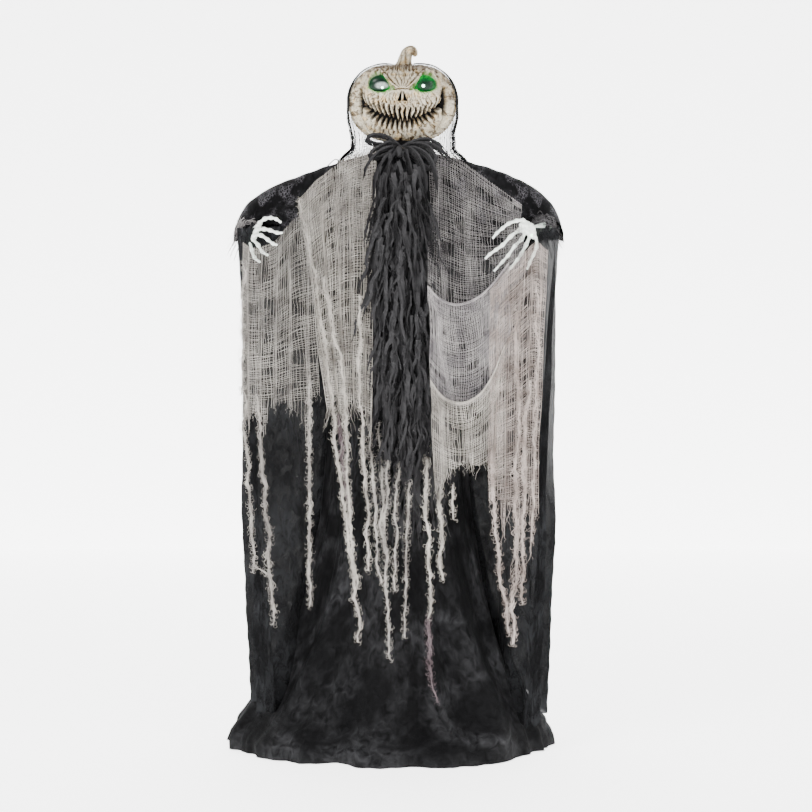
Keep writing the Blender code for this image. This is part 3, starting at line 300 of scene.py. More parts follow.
def crushed_cloth(name, dark, light, crush, alpha=1.0, spec=0.10, weave=1.2 * MM, lace=None,
                  lift=3.0 * MM, see_through=-0.25):
    """Black polyester with crushed creases, its raised creases painted lighter in broad random patches as
    painted highlight. Below alpha 1 the light shows through its thin places.
    """
    made, tree, shader = material(name, Roughness=0.80, Specular_IOR_Level=spec)
    where = add(tree, "ShaderNodeTexCoord").outputs["UV"]
    stretched = add(tree, "ShaderNodeMapping", None, Vector=where, Scale=(1.0, 0.7, 1.0))
    creases = add(tree, "ShaderNodeTexNoise", None, Vector=stretched.outputs[0], Scale=1 / crush,
                  Detail=7.0, Distortion=0.8)
    painted_crease_highlight = add(tree, "ShaderNodeMapRange", None, Value=creases.outputs["Fac"], _1=0.30, _2=0.74)
    broad = add(tree, "ShaderNodeTexNoise", None, Vector=where, Scale=1 / 0.19, Detail=5.0, Distortion=0.6)
    patch = add(tree, "ShaderNodeMapRange", None, Value=broad.outputs["Fac"],
                _1=0.42, _2=0.64, _3=0.12, _4=1.0)
    tone = add(tree, "ShaderNodeMath", {"operation": "MULTIPLY"}, _0=painted_crease_highlight.outputs[0], _1=patch.outputs[0])
    # the lighter colour is painted highlight on the crease ridges, which the bump raises
    colour = add(tree, "ShaderNodeMix", {"data_type": "RGBA"}, _0=tone.outputs[0],
                 _6=linear(dark), _7=linear(light)).outputs[2]
    if lace:
        mesh = add(tree, "ShaderNodeTexVoronoi", {"feature": "DISTANCE_TO_EDGE"}, Vector=where,
                   Scale=1 / LACE_CELL)
        line = add(tree, "ShaderNodeMapRange", None, Value=mesh.outputs["Distance"],
                   _1=0.02, _2=0.14, _3=1.0, _4=0.0)
        zone = add(tree, "ShaderNodeTexNoise", None, Vector=where, Scale=1 / 0.060, Detail=3.0)
        there = add(tree, "ShaderNodeMapRange", None, Value=zone.outputs["Fac"], _1=0.50, _2=0.60)
        both = add(tree, "ShaderNodeMath", {"operation": "MULTIPLY"}, _0=line.outputs[0], _1=there.outputs[0])
        colour = add(tree, "ShaderNodeMix", {"data_type": "RGBA"}, _0=both.outputs[0],
                     _6=colour, _7=linear(lace)).outputs[2]
    tree.links.new(colour, shader.inputs["Base Color"])
    fine = add(tree, "ShaderNodeTexWave", {"bands_direction": "X"}, Vector=where, Scale=0.314 / weave,
               Distortion=1.5, Detail=2.0)
    height = add(tree, "ShaderNodeMath", {"operation": "MULTIPLY_ADD"}, _0=fine.outputs["Fac"], _1=0.08,
                 _2=creases.outputs["Fac"])
    bump = add(tree, "ShaderNodeBump", None, Strength=1.0, Distance=lift, Height=height.outputs[0])
    tree.links.new(bump.outputs[0], shader.inputs["Normal"])
    if alpha < 1.0:
        thin = add(tree, "ShaderNodeAttribute", {"attribute_name": "thin"})
        solid = add(tree, "ShaderNodeMapRange", None, Value=creases.outputs["Fac"], _1=0.3, _2=0.7,
                    _3=alpha - 0.06, _4=1.0)
        cut = add(tree, "ShaderNodeMath", {"operation": "MULTIPLY_ADD"},
                  _0=thin.outputs["Fac"], _1=see_through, _2=solid.outputs[0])
        tree.links.new(cut.outputs[0], shader.inputs["Alpha"])
    return made


def net_cloth(name, code, hole, thread):
    """Knitted net: dark threads with real holes between them, a little pulled out of square."""
    made, tree, shader = material(name, Roughness=0.85)
    where = add(tree, "ShaderNodeTexCoord").outputs["UV"]
    pull = add(tree, "ShaderNodeTexNoise", None, Vector=where, Scale=1 / (14 * MM), Detail=3.0)
    centred = add(tree, "ShaderNodeVectorMath", {"operation": "SUBTRACT"},
                  _0=pull.outputs["Color"], _1=(0.5, 0.5, 0.5))
    shift = add(tree, "ShaderNodeVectorMath", {"operation": "SCALE"}, _0=centred.outputs[0])
    shift.inputs["Scale"].default_value = hole * 1.98
    moved = add(tree, "ShaderNodeVectorMath", {"operation": "ADD"}, _0=where, _1=shift.outputs[0])
    parts = add(tree, "ShaderNodeSeparateXYZ", None, Vector=moved.outputs[0])
    lines = []
    for axis in ("X", "Y"):
        cell = add(tree, "ShaderNodeMath", {"operation": "PINGPONG"}, _0=parts.outputs[axis], _1=hole / 2)
        near = add(tree, "ShaderNodeMath", {"operation": "LESS_THAN"}, _0=cell.outputs[0], _1=thread / 2)
        lines.append(near.outputs[0])
    solid = add(tree, "ShaderNodeMath", {"operation": "MAXIMUM"}, _0=lines[0], _1=lines[1])
    tree.links.new(solid.outputs[0], shader.inputs["Alpha"])
    tint = add(tree, "ShaderNodeTexNoise", None, Vector=where, Scale=1 / (30 * MM), Detail=2.0)
    colour = add(tree, "ShaderNodeMix", {"data_type": "RGBA"}, _0=tint.outputs["Fac"],
                 _6=linear(code), _7=linear("#3a393c"))
    tree.links.new(colour.outputs[2], shader.inputs["Base Color"])
    return made


def cotton_yarn(name, dark, light):
    """Loose grey cotton yarn: matt, uneven in tone along its length."""
    made, tree, shader = material(name, Roughness=0.95, Specular_IOR_Level=0.15)
    where = add(tree, "ShaderNodeTexCoord").outputs["Object"]
    broad = add(tree, "ShaderNodeTexNoise", None, Vector=where, Scale=1 / (55 * MM), Detail=3.0)
    fine = add(tree, "ShaderNodeTexNoise", None, Vector=where, Scale=1 / (5 * MM), Detail=3.0)
    both = add(tree, "ShaderNodeMath", {"operation": "MULTIPLY_ADD"}, _0=fine.outputs["Fac"], _1=0.5,
               _2=broad.outputs["Fac"])
    share = add(tree, "ShaderNodeMapRange", None, Value=both.outputs[0], _1=0.50, _2=1.0)
    colour = add(tree, "ShaderNodeMix", {"data_type": "RGBA"}, _0=share.outputs[0],
                 _6=linear(dark), _7=linear(light))
    tree.links.new(colour.outputs[2], shader.inputs["Base Color"])
    return made


def moulded(name, code, roughness, grain, metallic=0.0, tone_shift="#000000"):
    """A moulded, painted or plated hard surface with its own grain and slight rubbed tone."""
    made, tree, shader = material(name, Roughness=roughness, Metallic=metallic)
    where = add(tree, "ShaderNodeTexCoord").outputs["Object"]
    cloudy = add(tree, "ShaderNodeTexNoise", None, Vector=where, Scale=1 / (25 * MM), Detail=4.0)
    share = add(tree, "ShaderNodeMapRange", None, Value=cloudy.outputs["Fac"], _1=0.45, _2=0.8, _4=0.5)
    colour = add(tree, "ShaderNodeMix", {"data_type": "RGBA"}, _0=share.outputs[0],
                 _6=linear(code), _7=linear(tone_shift))
    tree.links.new(colour.outputs[2], shader.inputs["Base Color"])
    fine = add(tree, "ShaderNodeTexNoise", None, Vector=where, Scale=1 / grain, Detail=3.0)
    bump = add(tree, "ShaderNodeBump", None, Strength=0.3, Distance=0.0003, Height=fine.outputs["Fac"])
    tree.links.new(bump.outputs[0], shader.inputs["Normal"])
    return made


# ---------------------------------------------------------------- head

HEAD_CENTRE = Vector((0.005, -0.040, 1.953))
HEAD_HALF = (0.166, 0.146, 0.119)
HEAD_TILT = math.radians(12)
HEAD_PLACE = Matrix.Translation(HEAD_CENTRE) @ Matrix.Rotation(HEAD_TILT, 4, "X")
RIB_COUNT = 14
TOP_DIMPLE = 0.010
TOOTH = 0.0135          # pitch of the carved teeth
MOUTH_HALF = 0.128
EYE_AT = (0.064, 0.056)


def pumpkin(lon, lat):
    """Points of the ribbed pumpkin for arrays of longitude and latitude, in the head's frame."""
    front = smooth(0.35, 0.95, -np.sin(lon) * np.cos(lat))
    ribs = 1.0 - (0.050 - 0.040 * front) * (1.0 - np.abs(np.cos(RIB_COUNT / 2 * lon))) * np.cos(lat) ** 1.5
    wide = np.cos(lat) ** 0.72 * ribs
    x = HEAD_HALF[0] * wide * np.cos(lon)
    y = HEAD_HALF[1] * wide * np.sin(lon)
    z = HEAD_HALF[2] * np.sin(lat)
    reach = np.hypot(x, y) / 0.050
    z = z - TOP_DIMPLE * np.exp(-reach ** 2) * (lat > 0)
    return x, y, z


def mouth_line(x):
    """Height of the grin's middle line."""
    share = np.abs(x) / 0.122
    return -0.053 + 0.0405 * share ** 1.9 + 0.022 * share ** 8


def teeth(x, z, upper):
    """How deep inside a carved tooth each point is, in metres, below 0 in the gaps."""
    middle = mouth_line(x)
    lean = (0.10 if upper else -0.14) * x * np.clip((z - middle) / 0.03, -1, 1) * 1.4
    narrow = np.clip(1 - (np.abs(x) / 0.136) ** 2.4, 0, 1) ** 0.5
    wobble = 0.0011 * np.sin(160 * z + 50 * x)
    phase = (x - lean + wobble) / TOOTH + (0.5 if upper else 0.0)
    number = np.floor(phase)
    off = phase - number - 0.5
    vary = np.sin(number * 12.9898 + (3.1 if upper else 0.0)) * 0.5
    fang = np.abs(x) < 0.018
    apart = 0.0022 * smooth(0.045, 0.100, np.abs(x))
    if upper:
        root = middle + 0.010 + 0.033 * narrow + 0.010 * vary
        tip = middle + np.where(fang, -0.0030, 0.0038) + apart + 0.0015 * vary
        down = (root - z) / (root - tip)
        half = 0.31 - 0.25 * np.clip(down, 0, 1) ** 1.7 + 0.10 * np.clip(1 - down, 0, 1) ** 3
    else:
        root = middle - 0.011 - 0.016 * narrow + 0.008 * vary
        tip = middle - np.where(fang, 0.0010, 0.0042) - apart + 0.003 * vary
        down = (z - root) / (tip - root)
        half = 0.46 - 0.38 * np.clip(down, 0, 1) ** 1.1
    inside = (half - np.abs(off)) * TOOTH
    return np.where(down < 1.0, inside, -0.003), down, root


def eye_opening(x, z, side):
    """Distances inside the slanted eye opening, over its lid and over its floor, and out from its middle."""
    out = side * x - EYE_AT[0]
    up = z - EYE_AT[1]
    rise = mix(-0.012, 0.030, np.clip((out + 0.036) / 0.038, 0, 1) ** 0.85)
    fall = 0.041 * np.sqrt(np.clip(1 - ((out - 0.002) / 0.035) ** 2, 0, 1)) - 0.011
    lid = np.where(out < 0.002, rise, fall)
    floor = -0.022 + 0.011 * np.clip(np.abs(out) / 0.034, 0, 1) ** 3
    inside = np.minimum(np.minimum(lid - up, up - floor), 0.037 - np.abs(out))
    return inside, up - lid, up - floor, out


def carve(x, z):
    """The carving of the face: how far it sinks, how much brown it holds as brown wash with painted shade,
    where its openings are painted near black as the liner and painted shade, and the painted green light of
    the eye LEDs on it.
    """
    sink = np.zeros_like(x)
    brown_wash_and_painted_shade = np.zeros_like(x)
    liner_black_and_painted_shade = np.zeros_like(x)
    led_light_and_painted_spill = np.zeros_like(x)
    wave = 0.5 * np.sin(61 * x + 2.1 * np.sin(90 * z)) + 0.5 * np.sin(143 * z + 1.7 * np.sin(77 * x + 1.0))
    rough = 0.5 * np.sin(210 * x + 3 * np.sin(170 * z)) + 0.5 * np.sin(230 * z + 2.5 * np.sin(190 * x + 2.0))

    # forehead lines fan out of the bridge of the nose, over a wrinkled brow
    reach = np.hypot(x, z - 0.040)
    angle = np.arctan2(x, z - 0.040)
    fan = np.cos(17 * angle + 1.6 * wave + 0.5 * rough)
    above = smooth(0.036, 0.052, z) * np.exp(-(reach / 0.060) ** 2) * smooth(0.004, 0.014, reach)
    fold = 0.0022 * fan * above
    crown = smooth(0.070, 0.085, z)
    fold += 0.0016 * np.cos(21 * np.arctan2(x, 0.020) + 240 * x + 2 * rough) * crown
    fold += 0.0010 * np.sin(330 * z + 3 * wave + 90 * np.abs(x)) * crown
    # streaks that run down and out over the cheeks
    for side in SIDES.values():
        angle = np.arctan2(x - side * 0.022, 0.085 - z)
        cheek = smooth(0.036, 0.026, z) * smooth(0.116, 0.098, np.abs(x)) * (np.sign(x) == side)
        fold += 0.0013 * np.cos(40 * angle + 2.6 * wave + 1.6 * rough) * cheek
        fold += 0.0009 * np.cos(95 * angle + 2.6 * rough) * cheek
    # grooves in the lips over and under the teeth
    _, _, high = teeth(x, z, True)
    _, _, low = teeth(x, z, False)
    wide = smooth(0.135, 0.115, np.abs(x))
    over = np.exp(-np.clip(z - high, 0, 1) / 0.008) * (z > high)
    under = np.exp(-np.clip(low - z, 0, 1) / 0.011) * (z < low)
    groove = np.cos(2 * np.pi * x / TOOTH + 0.7 * wave)
    fold += 0.0022 * groove * (over - under) * wide
    # chin, side and jaw wrinkles
    chin = smooth(-0.070, -0.090, z)
    fold += 0.0011 * np.sin(170 * x + 3 * wave + rough) * chin
    side_skin = smooth(0.108, 0.130, np.abs(x))
    fold += 0.0013 * np.sin(120 * z + 2.4 * wave + 60 * np.abs(x)) * side_skin
    fold += 0.0008 * np.sin(260 * z + 3 * rough) * side_skin
    fine = 0.0006 * np.sin(420 * x + 5 * wave) * np.sin(390 * z - 4 * wave) + 0.0004 * rough
    sink -= fold + fine
    # brown wash with painted shade in the wrinkles and fine lines
    brown_wash_and_painted_shade += np.clip(-fold / 0.0014, 0, 1) * 0.70 + np.clip(-fine / 0.0007, 0, 1) * 0.25
    # darker on the crown; darker under the chin, which is painted shade
    brown_wash_and_painted_shade += 0.62 * smooth(0.084, 0.112, z) + 0.34 * smooth(-0.090, -0.112, z)
    # painted shade on the sides, heavier on the right, away from the key light
    brown_wash_and_painted_shade += 0.26 * smooth(0.115, 0.160, x) * smooth(-0.02, 0.05, z) + 0.14 * smooth(0.125, 0.160, -x)
    # a darker band across the face just over the upper teeth
    brown_wash_and_painted_shade += 0.22 * smooth(0.030, 0.0, np.abs(z + 0.003)) * smooth(0.11, 0.02, np.abs(x))

    # nose and nostrils, painted near black inside as painted shade
    sink -= 0.007 * np.exp(-(x / 0.014) ** 2 - ((z - 0.020) / 0.022) ** 2)
    down = (0.037 - z) / 0.031
    slit = np.minimum(np.abs(x) - 0.0020 - 0.001 * down, 0.0040 + 0.0125 * down - np.abs(x))
    nostril = smooth(-0.0006, 0.0012, slit) * smooth(0, 0.12, down) * smooth(1.0, 0.92, down)
    sink += 0.011 * nostril
    liner_black_and_painted_shade = np.maximum(liner_black_and_painted_shade, nostril)
    crease = np.exp(-((z - 0.043 + 3.0 * x * x) / 0.0022) ** 2) * smooth(0.034, 0.026, np.abs(x))
    sink += 0.0035 * crease
    # brown wash with painted shade in the crease over the nose
    brown_wash_and_painted_shade += 0.9 * crease

    # eye sockets under heavy slanted brows
    for side in SIDES.values():
        inside, over_lid, over_floor, out = eye_opening(x, z, side)
        here = (side * x > 0.020) & (np.abs(out) < 0.045)
        socket = smooth(-0.0010, 0.0035, inside) * here
        sink += 0.017 * socket
        brow = np.exp(-((over_lid - 0.0065) / 0.0065) ** 2) * smooth(0.046, 0.034, np.abs(out))
        brow = brow * (side * x > 0.016)
        sink -= 0.0095 * brow * (1 - socket)
        above_brow = np.exp(-((over_lid - 0.0165) / 0.0030) ** 2) * smooth(0.046, 0.030, np.abs(out))
        # brown wash with painted shade in the line over each brow
        brown_wash_and_painted_shade += 0.65 * above_brow * (side * x > 0.016)
        sink += 0.0020 * above_brow * (side * x > 0.016)
        pouch = np.exp(-((over_floor + 0.006) / 0.005) ** 2) * smooth(0.042, 0.030, np.abs(out))
        sink -= 0.0035 * pouch * (1 - socket) * (side * x > 0.016)
        rim = np.exp(-(inside / 0.0045) ** 2) * here
        # brown wash with painted shade round the socket edge
        brown_wash_and_painted_shade += 0.5 * rim
        # painted green light of the eye LEDs on the socket edges, stronger towards their floors
        lit = np.exp(-(np.clip(-inside, 0, 1) / 0.0055) ** 2) * here * smooth(0.046, 0.034, np.abs(out))
        lit = lit * smooth(0.006, 0.002, over_lid)
        led_light_and_painted_spill = np.maximum(led_light_and_painted_spill, lit * np.where(over_floor < 0.004, 1.0, 0.45))

    # mouth: both rows of teeth stand in a deep slot, painted near black between them as the black liner with
    # painted shade
    deep_up, down_up, high = teeth(x, z, True)
    deep_low, down_low, low = teeth(x, z, False)
    slot = smooth(0, 0.0016, high - z) * smooth(0, 0.0016, z - low) * smooth(0.129, 0.125, np.abs(x))
    tooth = np.maximum(deep_up, deep_low)
    gap = slot * smooth(0.0008, -0.0008, tooth)
    lean = np.where(deep_up > deep_low, np.clip(down_up, 0, 1), np.clip(down_low, 0, 1))
    sink += 0.019 * gap + slot * (1 - gap) * (0.0045 * lean - 0.0020 * np.sqrt(np.clip(tooth / 0.005, 0, 1)))
    band = smooth(0.0042, 0.0026, np.abs(z - mouth_line(x))) * smooth(0.020, 0.045, np.abs(x)) * slot
    gap = np.maximum(gap, band)
    liner_black_and_painted_shade = np.maximum(liner_black_and_painted_shade, gap)
    # painted shade on the teeth's edges beside the gaps, and less darkening along each tooth's middle
    brown_wash_and_painted_shade += 0.65 * slot * (1 - gap) * smooth(0.0022, 0.0, tooth)
    brown_wash_and_painted_shade -= 0.25 * slot * (1 - gap) * smooth(0.0012, 0.003, tooth)

    # slits that run up from the corners of the mouth, painted near black inside as painted shade
    for side in SIDES.values():
        at = side * x
        climb = (z + 0.040) / 0.094
        bend = 0.1225 + 0.003 * np.sin(3 * climb)
        half = (0.0088 if side > 0 else 0.0062) * np.clip(np.sin(np.pi * np.clip(climb, 0, 1)), 0, 1) ** 0.5
        cut = smooth(-0.0008, 0.0012, half - np.abs(at - bend)) * (climb > 0) * (climb < 1)
        along = (at - 0.122) / 0.019
        branch = smooth(-0.0005, 0.0010, 0.0032 * (1 - along) - np.abs(z - 0.014 + 0.60 * (at - 0.122)))
        cut = np.maximum(cut, branch * (along > 0) * (along < 1))
        sink += 0.013 * cut
        liner_black_and_painted_shade = np.maximum(liner_black_and_painted_shade, cut)
    return sink, np.clip(brown_wash_and_painted_shade, 0, 1), np.clip(liner_black_and_painted_shade, 0, 1), np.clip(led_light_and_painted_spill, 0, 1)


def pumpkin_half(name, columns, rows, start, end, carved, skin):
    """A stretch of the pumpkin between two longitudes, carved where it is the face."""
    bm = bmesh.new()
    bmesh.ops.create_grid(bm, x_segments=columns, y_segments=rows, size=0.5)
    mesh = bpy.data.meshes.new(name)
    bm.to_mesh(mesh)
    bm.free()
    count = len(mesh.vertices)
    flat = np.empty(count * 3, dtype=np.float32)
    mesh.vertices.foreach_get("co", flat)
    flat = flat.reshape(-1, 3).astype(float) + 0.5
    if carved:
        lon = np.radians(np.interp(flat[:, 0], [0.0, 0.10, 0.90, 1.0], [start, -160.0, -20.0, end]))
        lat = np.radians(np.interp(flat[:, 1], [0.0, 0.10, 0.88, 1.0], [-76.0, -54.0, 44.0, 89.0]))
    else:
        lon = np.radians(mix(start, end, flat[:, 0]))
        lat = np.radians(mix(-76.0, 89.0, flat[:, 1]))
    x, y, z = pumpkin(lon, lat)
    normal = np.stack([x / HEAD_HALF[0] ** 2, y / HEAD_HALF[1] ** 2, z / HEAD_HALF[2] ** 2], 1)
    normal /= np.linalg.norm(normal, axis=1)[:, None]
    if carved:
        sink, brown_wash_and_painted_shade, liner_black_and_painted_shade, led_light_and_painted_spill = carve(x, z)
        facing = smooth(0.02, 0.35, -normal[:, 1])
        sink, liner_black_and_painted_shade, led_light_and_painted_spill = sink * facing, liner_black_and_painted_shade * facing, led_light_and_painted_spill * facing
    else:
        rough = 0.0012 * np.sin(70 * z + 9 * np.sin(3 * lon)) * np.cos(lat)
        sink = rough + 0.0016 * np.cos(38 * lon) * smooth(0.085, 0.105, z)
        # darker in the rib valleys: brown wash with painted shade
        brown_wash_and_painted_shade = 0.15 + 0.35 * smooth(0.6, 1.0, 1 - np.abs(np.cos(RIB_COUNT / 2 * lon)))
        liner_black_and_painted_shade = np.zeros(count)
        led_light_and_painted_spill = np.zeros(count)
    valley = smooth(0.75, 1.0, 1 - np.abs(np.cos(RIB_COUNT / 2 * lon)))
    # rib valleys darker still towards the sides of the head: brown wash with painted shade
    brown_wash_and_painted_shade = np.clip(brown_wash_and_painted_shade + 0.35 * valley * smooth(0.2, 0.6, np.abs(np.cos(lon))), 0, 1)
    points = np.stack([x, y, z], 1) - normal * sink[:, None]
    place = np.array(HEAD_PLACE)
    points = points @ place[:3, :3].T + place[:3, 3]
    mesh.vertices.foreach_set("co", points.astype(np.float32).ravel())
    for label, values in (("brown_wash_and_painted_shade", brown_wash_and_painted_shade), ("liner_black_and_painted_shade", liner_black_and_painted_shade), ("led_light_and_painted_spill", led_light_and_painted_spill)):
        mesh.attributes.new(label, "FLOAT", "POINT").data.foreach_set("value", values.astype(np.float32))
    mesh.update()
    mesh.shade_smooth()
    return link(name, mesh, skin)


def build_stem(skin):
    """Ribbed stem that flares on the crown and hooks over to the side."""
    line = [(0.004, 0.004, 0.100), (0.005, 0.003, 0.118), (0.008, 0.002, 0.134), (0.015, 0.000, 0.149),
            (0.027, -0.002, 0.156), (0.036, -0.003, 0.150), (0.040, -0.004, 0.138)]
    sizes = [0.034, 0.0225, 0.0185, 0.0165, 0.0140, 0.0105, 0.0050]
    rows = 44

    def place(u, v):
        at = between(line, v)
        ahead = (between(line, min(v + 0.02, 1)) - between(line, max(v - 0.02, 0))).normalized()
        side = ahead.cross(Vector((0, 1, 0))).normalized()
        front = side.cross(ahead)
        angle = 2 * math.pi * u
        size = between([(s, 0, 0) for s in sizes], v).x
        if v > 0.97:
            size *= math.sqrt(max(0.0, (1 - v) / 0.03))
        ridge = 1 + 0.30 * abs(math.cos(3.5 * angle + 5.0 * v)) ** 0.7 - 0.19
        ridge += 0.05 * wander(9 * u, 14 * v, 3.0)
        around = side * (size * ridge * math.cos(angle)) + front * (size * ridge * math.sin(angle))
        return HEAD_PLACE @ (at + around)

    stem = cloth("pumpkin_stem", 72, rows, place, (0.12, 0.09), skin)
    bm = bmesh.new()
    bm.from_mesh(stem.data)
    bmesh.ops.remove_doubles(bm, verts=bm.verts, dist=0.00002)
    bmesh.ops.recalc_face_normals(bm, faces=bm.faces)
    bm.to_mesh(stem.data)
    bm.free()
    count = len(stem.data.vertices)
    values = np.zeros(count, dtype=np.float32)
    inverse = HEAD_PLACE.inverted()
    for vert in stem.data.vertices:
        at = inverse @ vert.co
        angle = math.atan2(at.y, at.x - 0.006)
        # darker in the stem's grooves and at its foot on the crown: brown wash with painted shade
        values[vert.index] = 0.15 + 0.75 * (1 - abs(math.cos(3.5 * angle))) + 0.4 * (at.z < 0.116)
    stem.data.attributes.new("brown_wash_and_painted_shade", "FLOAT", "POINT").data.foreach_set("value", np.clip(values, 0, 1))
    return stem


# Each eye's bright spot: how far across and up from the dome's middle, and its radius
EYE_SPOTS = {"left": (0.004, -0.009, 0.0035), "right": (-0.002, -0.004, 0.0045)}


def build_eyes(skin, core_skin):
    """Domes in the sockets and the white-hot LED spot that shows through each."""
    for name, side in SIDES.items():
        bm = bmesh.new()
        bmesh.ops.create_uvsphere(bm, u_segments=48, v_segments=28, radius=1.0)
        across = EYE_AT[0] / HEAD_HALF[0]
        lon = np.array([math.atan2(-math.sqrt(1 - across ** 2), side * across)])
        lat = np.array([math.asin(EYE_AT[1] / HEAD_HALF[2])])
        front = float(pumpkin(lon, lat)[1][0])
        place = HEAD_PLACE @ Matrix.Translation((side * EYE_AT[0], front + 0.016, EYE_AT[1] - 0.001))
        shape = Matrix.Diagonal((0.036, 0.0155, 0.028, 1))
        milk = {}
        led_light_and_painted_spill = {}
        for vert in bm.verts:
            across = side * vert.co.x
            up = vert.co.z
            radial = math.hypot(across, up)
            rim = float(smooth(0.45, 0.95, radial))
            inner = float(smooth(0.1, -0.9, across))
            if name == "left":
                apart = math.hypot((across + 0.08) * 0.95, (up + 0.10) * 1.5)
                milk[vert.index] = float(smooth(0.64, 0.36, apart))
                floor = 0.25 * float(smooth(-0.3, -0.8, up)) * inner
                led_light_and_painted_spill[vert.index] = min(1.0, rim * (0.10 + 1.3 * inner) + floor)
            else:
                milk[vert.index] = 0.0
                upper = 0.40 * float(smooth(0.15, 0.8, up))
                led_light_and_painted_spill[vert.index] = min(1.0, 0.04 + 0.30 * rim + 0.45 * inner + upper)
            vert.co = place @ (shape @ vert.co)
        dome = from_bmesh(f"eye_dome_{name}", bm, skin)
        for label, values in (("milk", milk), ("led_light_and_painted_spill", led_light_and_painted_spill)):
            data = dome.data.attributes.new(label, "FLOAT", "POINT").data
            data.foreach_set("value", [values[k] for k in range(len(dome.data.vertices))])
        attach(dome, "head")
        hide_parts(f"eye_{name}")
        bm = bmesh.new()
        across, up, size = EYE_SPOTS[name]
        spot = Matrix.Translation(place @ Vector((across, -0.0158, up)))
        bmesh.ops.create_uvsphere(bm, u_segments=20, v_segments=12, radius=1.0,
                                  matrix=spot @ Matrix.Diagonal((size, size * 0.5, size, 1)))
        core = from_bmesh(f"eye_led_spot_{name}", bm, core_skin)
        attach(core, "head")


def build_head():
    """The pumpkin, its stem and its eyes."""
    paint = pumpkin_paint()
    face = pumpkin_half("pumpkin_face", 400, 240, -196.0, 16.0, True, paint)
    back = pumpkin_half("pumpkin_back", 110, 90, 16.0, 164.0, False, paint)
    stem = build_stem(paint)
    for piece, node, slot in ((face, "head_front", "pumpkin_paint"), (back, "head_back", "pumpkin_paint"),
                              (stem, "stem", "stem_paint")):
        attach(piece, "head")
        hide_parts(node)
    build_eyes(eye_plastic(), lamp_plastic("white_green_led_core", "#9dffbf", 9.0))


# ---------------------------------------------------------------- hands

# Each digit's bones from the wrist outwards, as points along its middle
DIGITS = {
    "right": (
        ((0.372, -0.236, 1.560), (0.357, -0.246, 1.568), (0.338, -0.252, 1.566), (0.314, -0.258, 1.557),
         (0.296, -0.262, 1.543), (0.279, -0.266, 1.528), (0.267, -0.268, 1.512)),
        ((0.384, -0.232, 1.552), (0.347, -0.250, 1.539), (0.320, -0.258, 1.519), (0.296, -0.263, 1.494),
         (0.277, -0.266, 1.480), (0.259, -0.268, 1.467), (0.245, -0.268, 1.453)),
        ((0.388, -0.230, 1.548), (0.367, -0.248, 1.536), (0.352, -0.257, 1.512), (0.331, -0.262, 1.490),
         (0.312, -0.266, 1.463), (0.296, -0.268, 1.445), (0.271, -0.268, 1.417)),
        ((0.394, -0.228, 1.545), (0.379, -0.244, 1.525), (0.365, -0.254, 1.495), (0.351, -0.260, 1.469),
         (0.339, -0.265, 1.451), (0.320, -0.268, 1.427), (0.306, -0.268, 1.410)),
        ((0.402, -0.224, 1.541), (0.398, -0.238, 1.517), (0.396, -0.248, 1.489), (0.386, -0.255, 1.465),
         (0.375, -0.260, 1.442), (0.367, -0.262, 1.423)),
    ),
    "left": (
        ((-0.424, -0.216, 1.549), (-0.412, -0.240, 1.561), (-0.393, -0.280, 1.568), (-0.373, -0.310, 1.567),
         (-0.356, -0.330, 1.561), (-0.341, -0.345, 1.550)),
        ((-0.430, -0.214, 1.542), (-0.419, -0.250, 1.540), (-0.394, -0.290, 1.537), (-0.374, -0.320, 1.530),
         (-0.352, -0.345, 1.520), (-0.336, -0.360, 1.518)),
        ((-0.432, -0.212, 1.536), (-0.425, -0.250, 1.525), (-0.403, -0.290, 1.519), (-0.381, -0.320, 1.503),
         (-0.364, -0.345, 1.489), (-0.351, -0.358, 1.484)),
        ((-0.434, -0.210, 1.530), (-0.431, -0.248, 1.513), (-0.412, -0.285, 1.491), (-0.398, -0.310, 1.470),
         (-0.379, -0.330, 1.457)),
        ((-0.438, -0.208, 1.525), (-0.440, -0.240, 1.506), (-0.433, -0.265, 1.480), (-0.423, -0.285, 1.456),
         (-0.405, -0.300, 1.440)),
    ),
}
BONE_R = 0.0060


def bone_path(points, steps=42):
    """A digit's middle line with its thickness: knobs at the joints and a blunt tip."""
    joints = len(points) - 1
    path = []
    for k in range(steps + 1):
        t = k / steps
        near = abs(t * joints - round(t * joints))
        knob = 0.74 + 0.46 * math.exp(-(near / 0.20) ** 2)
        thick = mix(1.15, 0.78, t) * knob
        if t > 0.97:
            thick *= 0.7
        path.append((between(points, t), thick))
    return path


